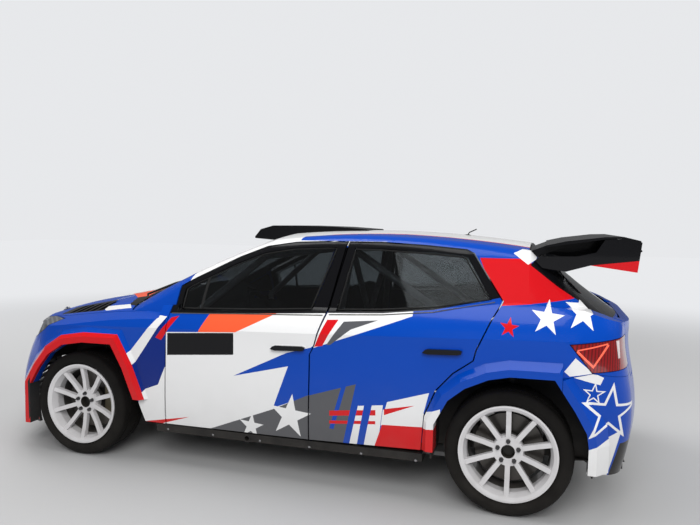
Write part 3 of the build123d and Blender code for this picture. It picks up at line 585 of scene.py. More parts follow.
def point_on(surface, start, direction):
    hit = surface.ray_cast(Vector(start), Vector(direction))[0]
    if hit is None:
        raise RuntimeError(f"no surface in front of {tuple(start)}")
    return hit


def side_points(surface, sign, outline, lift=0.0):
    # Side-view points dropped onto the body's side
    outside, outward = sign * 1.3, Vector((0, sign, 0))
    return [point_on(surface, (x, outside, z), -outward) + outward * lift for x, z in outline]


def closer(outline, step=0.08):
    # The same line with extra points, so that it follows a curved panel
    points = []
    for (x0, z0), (x1, z1) in zip(outline, outline[1:]):
        count = max(1, math.ceil(math.hypot(x1 - x0, z1 - z0) / step))
        for index in range(count):
            points.append((x0 + (x1 - x0) * index / count, z0 + (z1 - z0) * index / count))
    return points + [outline[-1]]


def shrunk(outline, amount):
    # The same outline drawn in towards its middle
    middle_x = sum(x for x, z in outline) / len(outline)
    middle_z = sum(z for x, z in outline) / len(outline)
    points = []
    for x, z in outline:
        reach = math.hypot(x - middle_x, z - middle_z)
        points.append((x + (middle_x - x) * amount / reach, z + (middle_z - z) * amount / reach))
    return points


# Livery: each row is a colour and a shape, painted in order

# Marks that run over a gap between two panels
WING_SLASH = ("red", side((0.664, 0.752), (0.704, 0.764), (0.612, 0.886), (0.564, 0.898)))
SILL_FLICK = ("red", side((0.775, 0.250), (0.470, 0.309), (0.731, 0.226)))
DOOR_STAR = ("white", star(-0.168, 0.384, 0.128))

FENDER_LAYERS = (
    ("deep_blue", side((0.646, 0.889), (0.880, 0.600), (0.830, 0.380), (0.625, 0.480))),
    ("white", side((0.645, 0.889), (0.696, 0.893), (0.905, 0.640), (0.868, 0.569))),
    WING_SLASH,
    ("white", side((0.632, 0.607), (0.683, 0.482), (0.700, 0.150), (0.620, 0.150))),
    ("white", side((0.683, 0.483), (0.771, 0.449), (0.780, 0.150), (0.680, 0.150))),
    ("white", side((0.770, 0.450), (0.815, 0.386), (0.850, 0.150), (0.770, 0.150))),
    SILL_FLICK,
    ("red", beyond(FLARE_TRIM_Y)),
)
FRONT_DOOR_LAYERS = (
    ("blue", side((0.700, 0.945), (0.352, 0.945), (0.417, 0.816), (0.700, 0.798))),
    ("orange", side((0.352, 0.945), (-0.085, 0.960), (0.173, 0.832), (0.417, 0.816))),
    WING_SLASH,
    ("black", side((0.622, 0.797), (0.186, 0.827), (0.186, 0.701), (0.622, 0.666))),
    ("blue", side((0.185, 0.580), (-0.141, 0.737), (-0.300, 0.782), (-0.153, 0.663))),
    ("blue", side((-0.153, 0.665), (-0.300, 0.790), (-0.300, 0.520), (-0.065, 0.419))),
    ("grey", side((0.358, 0.245), (-0.065, 0.413), (-0.065, 0.245), (-0.065, 0.150))),
    ("grey", side((-0.065, 0.413), (-0.300, 0.525), (-0.300, 0.150), (-0.065, 0.150))),
    DOOR_STAR,
    ("white", star(0.070, 0.300, 0.078)),
    SILL_FLICK,
    ("black", side((0.760, 0.902), (0.095, 0.937), (0.095, 1.400), (0.760, 1.400))),
    ("black", side((0.096, 0.937), (-0.460, 0.970), (-0.460, 1.400), (0.096, 1.400))),
    ("black", beyond(HANDLE_Y)),
)
REAR_DOOR_LAYERS = (
    ("white", side((-0.270, 0.766), (-0.835, 0.975), (-0.835, 1.050), (-0.270, 1.050))),
    ("red", side((-0.367, 0.932), (-0.432, 0.936), (-0.352, 0.792), (-0.306, 0.784))),
    ("grey", side((-0.464, 0.928), (-0.653, 0.945), (-0.510, 0.891), (-0.474, 0.910))),
    ("grey", side((-0.464, 0.928), (-0.510, 0.891), (-0.398, 0.801), (-0.375, 0.799))),
    ("grey", side((-0.239, 0.499), (-0.554, 0.601), (-0.452, 0.150), (-0.239, 0.150))),
    DOOR_STAR,
    ("blue", side((-0.468, 0.585), (-0.494, 0.590), (-0.425, 0.340), (-0.400, 0.340))),
    ("white", side((-0.540, 0.480), (-0.700, 0.500), (-0.660, 0.150), (-0.452, 0.150))),
    ("red", side((-0.400, 0.440), (-0.660, 0.470), (-0.660, 0.440), (-0.400, 0.412))),
    ("red", side((-0.400, 0.385), (-0.660, 0.410), (-0.660, 0.392), (-0.400, 0.368))),
    ("blue", side((-0.548, 0.600), (-0.588, 0.600), (-0.508, 0.240), (-0.474, 0.240))),
    ("blue", side((-0.616, 0.600), (-0.660, 0.600), (-0.590, 0.240), (-0.552, 0.240))),
    ("white", side((-0.722, 0.519), (-0.945, 0.589), (-0.916, 0.470), (-0.700, 0.430))),
    ("white", side((-0.700, 0.476), (-0.990, 0.478), (-0.990, 0.410), (-0.690, 0.390))),
    ("red", side((-0.706, 0.480), (-0.872, 0.515), (-0.707, 0.447))),
    ("red", side((-0.697, 0.394), (-0.990, 0.408), (-0.990, 0.270), (-0.655, 0.270))),
    ("black", side((-0.330, 0.964), (-0.667, 0.980), (-0.667, 1.400), (-0.330, 1.400))),
    ("black", side((-0.666, 0.980), (-0.943, 1.010), (-0.943, 1.400), (-0.666, 1.400))),
    ("black", side((-0.942, 1.010), (-1.310, 1.092), (-1.310, 1.400), (-0.942, 1.400))),
    ("black", beyond(HANDLE_Y)),
)
SIDE_FRAME_LAYERS = (
    ("white", side((0.590, 1.040), (0.560, 1.240), (-0.120, 1.460), (-0.120, 1.300))),
    ("white", side((-0.119, 1.300), (-0.119, 1.356), (-0.650, 1.362), (-0.400, 1.330))),
    ("red", side((-1.163, 1.288), (-1.392, 1.288), (-1.525, 1.205), (-1.270, 1.045))),
    ("red", side((-1.524, 1.206), (-1.652, 1.086), (-1.450, 1.062), (-1.270, 1.045))),
    ("black", side((-1.424, 1.257), (-1.568, 1.144), (-1.700, 1.260), (-1.560, 1.400))),
    ("black", side((-1.568, 1.144), (-1.745, 1.025), (-1.850, 1.140), (-1.700, 1.270))),
    ("white", side((-1.335, 1.316), (-1.412, 1.258), (-1.452, 1.285), (-1.475, 1.400))),
    ("blue", side((-1.300, 1.345), (-1.345, 1.320), (-1.385, 1.340), (-1.380, 1.370))),
    ("white", star(-1.518, 1.003, 0.084)),
    ("red", star(-1.335, 0.951, 0.050)),
    ("white", star(-1.690, 1.034, 0.092)),
    ("white", side((-1.655, 0.826), (-1.605, 0.757), (-1.630, 0.735), (-1.740, 0.755))),
    ("white", side((-0.900, 0.478), (-1.010, 0.520), (-1.010, 0.405), (-0.900, 0.400))),
    ("red", side((-0.900, 0.404), (-1.010, 0.412), (-1.010, 0.285), (-0.900, 0.285))),
    # Black sill skirt, carried up over the strip below the doors as painted shade
    ("black", side((0.780, 0.262), (-0.925, 0.285), (-0.925, 0.100), (0.780, 0.100))),
    ("black", side((-0.400, 0.964), (-0.280, 0.960), (-0.345, 1.322), (-0.455, 1.326))),
)
FRONT_BUMPER_LAYERS = (
    ("white", top((2.100, 0.000), (2.100, 0.240), (1.600, 0.300), (1.600, 0.000))),
    ("red", side((1.900, 0.240), (1.560, 0.200), (1.560, 0.080), (2.100, 0.080))),
    ("red", beyond(FLARE_TRIM_Y)),
    ("red", side((1.680, 0.440), (1.600, 0.440), (1.585, 0.150), (1.680, 0.135))),
    ("black", side((1.606, 0.430), (1.588, 0.460), (1.594, 0.190), (1.600, 0.190))),
    ("black", side((1.585, 0.620), (1.300, 0.620), (1.300, 0.200), (1.5935, 0.200))),
    ("black", below(0.165)),
)
REAR_BUMPER_LAYERS = (
    ("white", side((-1.600, 0.745), (-1.722, 0.765), (-1.790, 0.733), (-1.774, 0.698))),
    ("white", star(-1.746, 0.655, 0.058)),
    ("blue", star(-1.746, 0.655, 0.040)),
    ("white", star(-1.824, 0.560, 0.150)),
    ("blue", star(-1.824, 0.560, 0.112)),
    ("blue", within(0.650)),
    ("white", side((-1.720, 0.392), (-1.885, 0.470), (-1.815, 0.200), (-1.690, 0.200))),
    ("black", side((-1.820, 0.200), (-2.050, 0.200), (-2.050, 0.395), (-1.880, 0.400))),
)
TAILGATE_LAYERS = (
    ("black", side((-1.400, 1.390), (-1.400, 1.200), (-1.800, 0.985), (-1.990, 1.100))),
)
ROOF_LAYERS = (
    ("blue", top((-0.020, 0.560), (-0.700, 0.430), (-1.440, 0.400), (-1.440, 0.560))),
    ("orange", top((-0.300, 0.505), (-0.700, 0.430), (-0.700, 0.404), (-0.250, 0.500))),
    ("red", top((-0.700, 0.430), (-1.440, 0.400), (-1.440, 0.376), (-0.700, 0.404))),
)
BONNET_LAYERS = (
    ("white", top((0.800, 0.340), (1.950, 0.150), (1.950, -0.010), (0.800, -0.010))),
    ("black", top((1.075, 0.600), (1.135, 0.420), (1.000, 0.420), (0.880, 0.690))),
    ("black", top((1.136, 0.421), (1.165, -0.010), (0.990, -0.010), (0.990, 0.421))),
    ("orange", top((1.339, 0.196), (1.105, 0.136), (1.051, 0.417), (1.135, 0.427))),
    ("blue", top((1.444, 0.476), (1.279, 0.341), (1.139, 0.430), (1.088, 0.551))),
    ("white", top((1.314, 0.572), (1.073, 0.591), (1.010, 0.668), (1.196, 0.674))),
    ("white", top((1.010, 0.668), (0.954, 0.706), (1.127, 0.644), (1.196, 0.674))),
    ("white", top((1.481, 0.531), (1.481, 0.519), (1.231, 0.327), (1.231, 0.339))),
    ("black", top((1.225, 0.665), (1.600, 0.620), (1.620, 0.440), (1.300, 0.400))),
)
WING_LAYERS = (
    ("red", side((-1.724, 1.263), (-1.949, 1.234), (-1.975, 1.297))),
)
# Tail lamp: three bright lines and a clear strip
CLEAR_LENS = (0.62, 0.55, 0.55)
TAIL_LENS = (
    ("line", side((-1.664, 0.864), (-1.658, 0.854), (-1.738, 0.778), (-1.738, 0.792))),
    ("line", side((-1.738, 0.792), (-1.738, 0.776), (-1.812, 0.887), (-1.804, 0.894))),
    ("line", side((-1.662, 0.866), (-1.806, 0.898), (-1.806, 0.891), (-1.662, 0.859))),
    ("clear", side((-1.846, 0.905), (-1.862, 0.905), (-1.868, 0.820), (-1.858, 0.820))),
)
# Headlamp: bright rings round dark projectors, each with a painted bluish highlight in its middle, over a
# dark lower band
HEAD_LENS = (
    ((0.030, 0.030, 0.034), below(0.700)),
    ((0.60, 0.61, 0.63), ball(1.800, 0.560, 0.738, 0.066)),
    ((0.012, 0.012, 0.014), ball(1.800, 0.560, 0.738, 0.057)),
    # Painted highlight on the projector glass
    ((0.30, 0.36, 0.46), ball(1.810, 0.560, 0.742, 0.036)),
    ((0.60, 0.61, 0.63), ball(1.690, 0.680, 0.752, 0.058)),
    ((0.012, 0.012, 0.014), ball(1.690, 0.680, 0.752, 0.050)),
    # Painted highlight on the projector glass
    ((0.30, 0.36, 0.46), ball(1.696, 0.684, 0.755, 0.030)),
)
# Side-view outlines of the window openings and the belt
FRONT_WINDOW = (
    (0.590, 0.932), (0.590, 1.044), (0.555, 1.067), (0.261, 1.210), (0.080, 1.279), (-0.101, 1.309),
    (-0.325, 1.319), (-0.367, 1.319), (-0.259, 0.977), (0.095, 0.950), (0.580, 0.931),
)
REAR_WINDOW = (
    (-0.466, 1.319), (-0.618, 1.320), (-0.877, 1.308), (-1.078, 1.292), (-1.096, 1.284),
    (-1.230, 1.074), (-0.943, 1.018), (-0.667, 0.992), (-0.406, 0.980), (-0.464, 1.310),
)
FRONT_BELT = ((0.620, 0.909), (0.095, 0.934), (-0.335, 0.952))
REAR_BELT = ((-0.370, 0.957), (-0.667, 0.972), (-0.943, 0.999), (-1.255, 1.062))
DIVIDER = ((0.452, 0.936), (0.440, 1.116))

INTO_CAR = (0, -1, 0)
BACKWARDS = (-1, 0, 0)
FORWARDS = (1, 0, 0)
DOWN = (0, 0, -1)
DOWN_AND_AHEAD = (0.7, 0, -0.7)
# Name, main colour, layers, where the inner faces look (they get painted shade), and the panels
PAINTWORK = (
    ("Front wing paint", "blue", FENDER_LAYERS, INTO_CAR, pair("front_fender")),
    ("Front door paint", "white", FRONT_DOOR_LAYERS, INTO_CAR, pair("door_front")),
    ("Rear door paint", "blue", REAR_DOOR_LAYERS, INTO_CAR, pair("door_rear")),
    ("Body side paint", "blue", SIDE_FRAME_LAYERS, INTO_CAR, pair("side_frame")),
    ("Front bumper paint", "blue", FRONT_BUMPER_LAYERS, BACKWARDS, ("front_bumper",)),
    ("Rear bumper paint", "blue", REAR_BUMPER_LAYERS, FORWARDS, ("rear_bumper",)),
    ("Tailgate paint", "blue", TAILGATE_LAYERS, DOWN_AND_AHEAD, ("tailgate",)),
    ("Roof paint", "white", ROOF_LAYERS, DOWN, ("roof_panel",)),
    ("Bonnet paint", "blue", BONNET_LAYERS, DOWN, ("bonnet",)),
    ("Wing paint", "black", WING_LAYERS, INTO_CAR, ("rear_wing",)),
    ("Scoop paint", "black", (), INTO_CAR, ("roof_scoop",)),
)


class RALLY_OT_paint(bpy.types.Operator):
    """Paints the body panels in blue, white and red with plain stars and stripes"""
    bl_idname = "rally.paint"
    bl_label = "Body paint"

    def execute(self, context):
        for name, base, layers, inward, panels in PAINTWORK:
            dress(livery_material(name, base, layers, inward), *panels)
        return {"FINISHED"}


WIPER_PIVOT_X, WIPER_PIVOT_Z = 1.018, 0.970
WIPER_TIP_X, WIPER_TIP_Z = 0.952, 1.047


def wiper_mesh(pivot_y, sweep):
    # An arm with a slight bend, and the blade along its outer part
    mesh = bmesh.new()
    pivot = Vector((WIPER_PIVOT_X, pivot_y, WIPER_PIVOT_Z))
    tip = Vector((WIPER_TIP_X, pivot_y - sweep, WIPER_TIP_Z))
    bend = Vector((0, 0, 0.012))
    add_bar(mesh, [pivot - bend, pivot, pivot.lerp(tip, 0.5) + bend, tip], 0.007)
    add_bar(mesh, [pivot.lerp(tip, 0.22) + Vector((0.012, 0, 0)), tip + Vector((0.006, 0, 0))], 0.005)
    return mesh


def line_mesh(surface, sign, outline, radius, count, lift=0.0):
    # Round moulding that follows a side-view line over the surface
    mesh = bmesh.new()
    add_bar(mesh, side_points(surface, sign, closer(outline), lift), radius, count)
    return mesh


class RALLY_OT_glazing(bpy.types.Operator):
    """Gives the windows tinted glass and adds wipers, window seals, belt strips and dividers"""
    bl_idname = "rally.glazing"
    bl_label = "Glazing"

    def execute(self, context):
        settings = context.scene.rally_glass
        glass, _, _ = new_material(
            "Tinted glass", Base_Color=tuple(settings.tint), Transmission_Weight=1.0, Metallic=0.0,
            Roughness=0.02, IOR=1.45,
        )
        dress(glass, "windscreen", "tailgate_glass", *pair("door_glass_front"), *pair("door_glass_rear"))
        black = plain_finish("Wiper rubber", (0.012, 0.012, 0.012), 0.5, 0.7)
        # The short wiper ends before the corner of the bonnet, which swings past the screen as it opens
        add_piece("wiper_long", wiper_mesh(0.48, settings.wiper), black, "body")
        add_piece("wiper_short", wiper_mesh(-0.10, settings.short_wiper), black, "body")
        chrome = plain_finish(
            "Bright strip", context.scene.rally_lamp.chrome, 0.15, 0.25, dust=0.0, Metallic=1.0,
        )
        for side_name, sign in SIDES:
            for end, window, belt in (("front", FRONT_WINDOW, FRONT_BELT), ("rear", REAR_WINDOW, REAR_BELT)):
                door = f"door_{end}_{side_name}"
                pane = surface_of(f"door_glass_{end}_{side_name}")
                seal = line_mesh(pane, sign, shrunk(window, 0.007), 0.0045, 6)
                add_piece(f"window_seal_{end}_{side_name}", seal, black, door)
                strip = line_mesh(surface_of(door), sign, belt, 0.0040, 6)
                add_piece(f"belt_strip_{end}_{side_name}", strip, chrome, door)
            door = f"door_front_{side_name}"
            surface = surface_of(door, f"door_glass_front_{side_name}")
            divider = line_mesh(surface, sign, DIVIDER, 0.009, 8, lift=-0.002)
            add_piece(f"window_divider_{side_name}", divider, black, door)
        return {"FINISHED"}


def tail_lens_material():
    # Ribbed red lens with bright lines that glow a little, and a clear strip at its outer end
    settings = bpy.context.scene.rally_lamp
    material, tree, shader = new_material(
        "Tail lamp lens", Coat_Weight=1.0, Coat_Roughness=0.02, Roughness=0.12, Metallic=0.0,
        Specular_IOR_Level=0.6, Emission_Strength=0.25,
    )
    position = folded_position(tree)
    red, blade = tuple(settings.lens_red), tuple(settings.blade)
    ribs = place(tree, ribs_group(), position, Ribs_per_metre=62.0)
    colour = mix_colour(tree, ribs["Mask"], red, tuple(channel * 0.45 for channel in red))
    glow = NO_LIGHT
    for key, (kind, shape) in TAIL_LENS:
        mask = layer_mask(tree, position, kind, shape)
        colour = mix_colour(tree, mask, colour, blade if key == "line" else CLEAR_LENS)
        if key == "line":
            glow = mix_colour(tree, mask, glow, blade)
    tree.links.new(colour, shader.inputs["Base Color"])
    tree.links.new(glow, shader.inputs["Emission Color"])
    return material


def head_lens_material():
    material, tree, shader = new_material(
        "Headlamp lens", Coat_Weight=1.0, Coat_Roughness=0.02, Roughness=0.10, Metallic=0.0,
    )
    position = folded_position(tree)
    ribs = place(tree, ribs_group(), position, Ribs_per_metre=40.0)
    colour = mix_colour(tree, ribs["Mask"], (0.07, 0.075, 0.09), (0.16, 0.17, 0.19))
    # Layers in order; the small bluish ball on each projector is a painted highlight
    for shade, (kind, shape) in HEAD_LENS:
        colour = mix_colour(tree, layer_mask(tree, position, kind, shape), colour, shade)
    tree.links.new(colour, shader.inputs["Base Color"])
    return material


class RALLY_OT_lamps(bpy.types.Operator):
    """Finishes the tail lamps, the headlamps with their projector rings, and the grilles"""
    bl_idname = "rally.lamps"
    bl_label = "Lamps and grilles"

    def execute(self, context):
        dress(tail_lens_material(), "tail_lamps")
        dress(head_lens_material(), "headlamps")
        grille = plain_finish("Grille plastic", (0.012, 0.012, 0.013), 0.45, 0.6, fine=300.0)
        dress(grille, "front_grille")
        return {"FINISHED"}


# Nearer to the middle than these, the rim's barrel is painted dark grey as painted shade behind the spokes,
# and the disc is bare metal
BARREL_SHADE_Y = 0.7990
DISC_Y = 0.7690
DISC_RADIUS = 0.1785
BORE_RADIUS = 0.0350


def wheel_material(label, axle_x):
    # White paint on the rim, painted shade on the barrel behind the spokes, bare metal on the disc, dark bore
    # in the middle
    settings = bpy.context.scene.rally_wheel
    material, tree, shader = new_material(f"Wheel paint {label}", Coat_Weight=0.3, Coat_Roughness=0.08)
    position = folded_position(tree)
    from_hub = vector_node(tree, "SUBTRACT", position, (axle_x, 0, WHEEL_Z))
    radius = vector_node(tree, "LENGTH", vector_node(tree, "MULTIPLY", from_hub, SIDE_VIEW))
    distance = along_axis(tree, position, ACROSS)
    inner = math_node(tree, "LESS_THAN", distance, DISC_Y)
    disc = math_node(tree, "MULTIPLY", math_node(tree, "LESS_THAN", radius, DISC_RADIUS), inner)
    bore = math_node(tree, "LESS_THAN", radius, BORE_RADIUS)
    barrel_shade = math_node(tree, "LESS_THAN", distance, BARREL_SHADE_Y)
    # The barrel behind the spokes gets dark grey: painted shade
    colour = mix_colour(tree, barrel_shade, tuple(settings.rim), (0.040, 0.038, 0.038))
    colour = mix_colour(tree, disc, colour, (0.085, 0.080, 0.075))
    colour = mix_colour(tree, bore, colour, (0.008, 0.008, 0.008))
    dusty(tree, shader, position, colour, WHEEL_DUST, dust_top=0.9, amount=0.30)
    tree.links.new(disc, shader.inputs["Metallic"])
    rough_and_bump(tree, shader, position, 0.28, 0.42, fine=260.0, strength=0.03)
    return material


# Half of the tyre's section, from the bead to near the middle of the tread: across, and radius
TREAD_PROFILE = (
    (-0.096, 0.232), (-0.0975, 0.2485), (-0.1125, 0.2640), (-0.1165, 0.2730), (-0.1170, 0.2820),
    (-0.1145, 0.2930), (-0.1090, 0.3050), (-0.1010, 0.3125), (-0.0920, 0.3170), (-0.0780, 0.3187),
    (-0.0600, 0.3197), (-0.0520, 0.3199), (-0.0515, 0.3200), (-0.0440, 0.3200), (-0.0435, 0.3200),
    (-0.0100, 0.3200),
)
TREAD_RADIUS = 0.3200
SHOULDER_ROW = 9
GROOVE_ROWS = (12, 13)
RIB_ROWS = (2, 3, 4)
RIB_DEPTH = 0.0008
STEPS_PER_BLOCK = 3
STEPS_PER_RIB = 9
# The slots between the blocks are shallower than the grooves, and stop short of the middle
SLOT_DEPTH = 0.7
SLOT_END = 0.03
SLOT_SLANT = 60


def tyre_mesh(axle_x, side_sign):
    settings = bpy.context.scene.rally_wheel
    half = list(TREAD_PROFILE)
    profile = half + [(0.0, TREAD_RADIUS)] + [(-along, radius) for along, radius in reversed(half)]
    count = len(profile)
    grooves, ribs = (
        {row for index in rows for row in (index, count - 1 - index)} for rows in (GROOVE_ROWS, RIB_ROWS)
    )
    tread = range(SHOULDER_ROW, count - SHOULDER_ROW)
    steps = settings.blocks * STEPS_PER_BLOCK
    mesh = bmesh.new()
    rings = []
    for step in range(steps):
        angle = FULL_TURN * step / steps
        ring = []
        for index, (along, radius) in enumerate(profile):
            slant = int(abs(along) * SLOT_SLANT)
            in_slot = (step + slant) % STEPS_PER_BLOCK == 0 and abs(along) > SLOT_END
            if index in grooves:
                radius -= settings.groove
            elif index in tread and in_slot:
                radius -= settings.groove * SLOT_DEPTH
            if index in ribs and step % STEPS_PER_RIB in (0, 1):
                radius -= RIB_DEPTH
            x, z = axle_x + radius * math.cos(angle), WHEEL_Z + radius * math.sin(angle)
            ring.append(mesh.verts.new((x, side_sign * (WHEEL_Y + along), z)))
        rings.append(ring)
    for here, after in zip(rings, rings[1:] + rings[:1]):
        bridge(mesh, here, after)
    return mesh


NUT_COUNT = 5
NUT_CIRCLE = 0.054
NUT_Y = WHEEL_Y + 0.0595
NUT_PROFILE = ((-0.004, 0.0125), (0.002, 0.0125), (0.004, 0.0105), (0.016, 0.0100), (0.018, 0.0080))
PLUG_Y = WHEEL_Y + 0.020
PLUG_PROFILE = ((-0.02, 0.0338), (0.0, 0.0338), (0.004, 0.030))


def nut_mesh(axle_x, side_sign):
    mesh = bmesh.new()
    for index in range(NUT_COUNT):
        angle = math.radians(90 + 360 / NUT_COUNT * index)
        x, z = axle_x + NUT_CIRCLE * math.cos(angle), WHEEL_Z + NUT_CIRCLE * math.sin(angle)
        add_turned(mesh, (x, side_sign * NUT_Y, z), (0, side_sign, 0), NUT_PROFILE, 6)
    return mesh


class RALLY_OT_wheels(bpy.types.Operator):
    """Wheels: finish of rims and discs, treaded tyres, nuts and hub plugs"""
    bl_idname = "rally.wheels"
    bl_label = "Wheels and tyres"

    def execute(self, context):
        settings = context.scene.rally_wheel
        rubber = plain_finish(
            "Tyre rubber", settings.rubber, 0.55, 0.75, fine=500.0, strength=0.15, dust=0.07, dust_top=0.9,
            Specular_IOR_Level=0.12,
        )
        nut = plain_finish("Wheel nut steel", (0.09, 0.09, 0.095), 0.3, 0.45, Metallic=1.0)
        bore = plain_finish("Hub cap black", (0.006, 0.006, 0.006), 0.5, 0.6)
        for label, axle_x in AXLES:
            rim = wheel_material(label, axle_x)
            for side_name, sign in SIDES:
                corner = f"{label}_{side_name}"
                body = f"wheel_{corner}_turning"
                dress(rim, f"wheel_{corner}")
                tyre = add_piece(f"tread_{corner}", tyre_mesh(axle_x, sign), rubber, body)
                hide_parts(f"tyre_{corner}")
                add_piece(f"nuts_{corner}", nut_mesh(axle_x, sign), nut, body)
                plug = bmesh.new()
                add_turned(plug, (axle_x, sign * PLUG_Y, WHEEL_Z), (0, sign, 0), PLUG_PROFILE)
                add_piece(f"hub_plug_{corner}", plug, bore, body)
        return {"FINISHED"}


# Cabin finishes: name, colour, roughness from and to, other values, and the pieces
CABIN_FINISHES = (
    ("Dashboard flocking", (0.014, 0.014, 0.015), 0.8, 0.95, {"fine": 900.0, "strength": 0.3},
     ("dashboard",)),
    ("Suede grip", (0.012, 0.012, 0.013), 0.75, 0.9, {"fine": 1200.0, "strength": 0.3}, ("steering_wheel",)),
    ("Floor paint", (0.16, 0.165, 0.17), 0.45, 0.6, {"dust": 0.3}, ("floor_pan", "bulkhead")),
    ("Underseal", (0.020, 0.020, 0.021), 0.7, 0.85, {"fine": 260.0, "strength": 0.5, "dust": 0.35},
     ("front_wheelhouses", "rear_wheelhouses")),
)
# A shoulder belt's run from the seat back to the lap: x, share of SHOULDER_APART, z
SHOULDER_RUN = ((-0.228, 1.0, 0.900), (-0.170, 1.0, 0.700), (-0.098, 0.4, 0.430), (-0.060, 0.4, 0.330))
SHOULDER_APART = 0.075
SHOULDER_HALF_WIDTH = 0.024
LAP_HALF_WIDTH = 0.155
BACK_PAD_ROWS = ((0.360, 0.600), (0.620, 0.860))
BACK_PAD_HALF_WIDTH = 0.14
BASE_PAD_HALF_WIDTH = 0.15
KNOB_PROFILE = ((-0.05, 0.010), (-0.04, 0.016), (0.02, 0.018), (0.035, 0.010))
SCREEN_HALF_WIDTH = 0.085


def harness_mesh(sign):
    mesh = bmesh.new()
    seat = sign * SEAT_Y
    for shoulder in (-SHOULDER_APART, SHOULDER_APART):
        run = [(x, seat + shoulder * share, z) for x, share, z in SHOULDER_RUN]
        for near, far in zip(run[:-1], run[1:]):
            add_plank(mesh, near, far, SHOULDER_HALF_WIDTH, (0.003, 0, 0.0015))
    left, right = seat - LAP_HALF_WIDTH, seat + LAP_HALF_WIDTH
    lap = [(-0.052, left, 0.350), (-0.046, right, 0.350), (0.004, right, 0.330), (-0.002, left, 0.330)]
    add_slab(mesh, lap, (0, 0, 0.004))
    return mesh


def seat_back_x(z):
    # Front face of the seat back, which leans rearwards
    return -0.080 - 0.2627 * (z - 0.312)


def seat_pad_mesh(sign):
    mesh = bmesh.new()
    seat = sign * SEAT_Y
    for low, high in BACK_PAD_ROWS:
        add_plank(
            mesh, (seat_back_x(low), seat, low), (seat_back_x(high), seat, high), BACK_PAD_HALF_WIDTH,
            (0.016, 0, 0.004),
        )
    add_plank(mesh, (0.020, seat, 0.277), (0.330, seat, 0.307), BASE_PAD_HALF_WIDTH, (0, 0, 0.022))
    return mesh


def lever_mesh():
    # Gear lever and handbrake on a plate over the tunnel
    mesh = bmesh.new()
    for x, y, knob_z in ((0.200, 0.060, 0.660), (0.250, -0.040, 0.600)):
        knob = (x - 0.020, y, knob_z)
        add_bar(mesh, [(x, y, 0.330), knob], 0.009)
        add_turned(mesh, knob, UP, KNOB_PROFILE, 16)
    add_plank(mesh, (0.150, 0, 0.330), (0.330, 0, 0.330), 0.085, (0, 0, 0.018))
    return mesh


def screen_mesh():
    # The driver's display and the one in the middle of the dashboard
    mesh = bmesh.new()
    for y, depth in ((SEAT_Y, 0.008), (0.0, 0.006)):
        add_plank(mesh, (0.437, y, 0.765), (0.446, y, 0.828), SCREEN_HALF_WIDTH, (-depth, 0, 0.001))
    return mesh


class RALLY_OT_cabin(bpy.types.Operator):
    """Cabin: seats, harness, levers, dashboard, steering wheel, roll cage and floor"""
    bl_idname = "rally.cabin"
    bl_label = "Cabin"

    def execute(self, context):
        settings = context.scene.rally_cabin
        dress(knit_material("Bucket cloth", settings.fabric, 2400.0), "seats")
        dress(plain_finish("Cage paint", settings.cage, 0.3, 0.4, dust=0.05), "roll_cage")
        for name, colour, low, high, others, nodes in CABIN_FINISHES:
            dress(plain_finish(name, colour, low, high, **others), *nodes)
        belt = knit_material("Harness webbing", settings.belt, 3200.0)
        pad = knit_material("Pad cloth", (0.045, 0.048, 0.055), 1800.0)
        for side_name, sign in SIDES:
            add_piece(f"harness_{side_name}", harness_mesh(sign), belt, "body", smooth=False)
            add_piece(f"seat_pads_{side_name}", seat_pad_mesh(sign), pad, "body", smooth=False)
        grip = plain_finish("Lever black", (0.015, 0.015, 0.016), 0.4, 0.55)
        add_piece("levers", lever_mesh(), grip, "body")
        screen = plain_finish("Dark screen", (0.010, 0.014, 0.020), 0.08, 0.12, dust=0.0)
        add_piece("dash_screens", screen_mesh(), screen, "body", smooth=False)
        return {"FINISHED"}


# Running gear finishes, in the same columns as the cabin's
GEAR_FINISHES = (
    ("Cast iron", (0.045, 0.045, 0.047), 0.5, 0.7,
     {"fine": 300.0, "strength": 0.2, "dust": 0.4, "Metallic": 0.6}, ("front_suspension", "rear_suspension")),
    ("Caliper and strut", (0.10, 0.085, 0.05), 0.4, 0.55, {"dust": 0.3, "Metallic": 0.5},
     pair("knuckle_front")),
    ("Engine alloy", (0.18, 0.18, 0.18), 0.45, 0.6, {"fine": 200.0, "Metallic": 0.8}, ("engine_block",)),
    ("Exhaust steel", (0.30, 0.27, 0.24), 0.3, 0.5, {"dust": 0.3, "Metallic": 1.0}, ("exhaust",)),
    ("Guard alloy", (0.42, 0.42, 0.42), 0.4, 0.6, {"fine": 150.0, "dust": 0.4, "Metallic": 0.9},
     ("sump_guard",)),
)


class RALLY_OT_running_gear(bpy.types.Operator):
    """Suspension, knuckle, engine, exhaust and guard finishes"""
    bl_idname = "rally.running_gear"
    bl_label = "Running gear"

    def execute(self, context):
        for name, colour, low, high, others, nodes in GEAR_FINISHES:
            dress(plain_finish(name, colour, low, high, **others), *nodes)
        return {"FINISHED"}


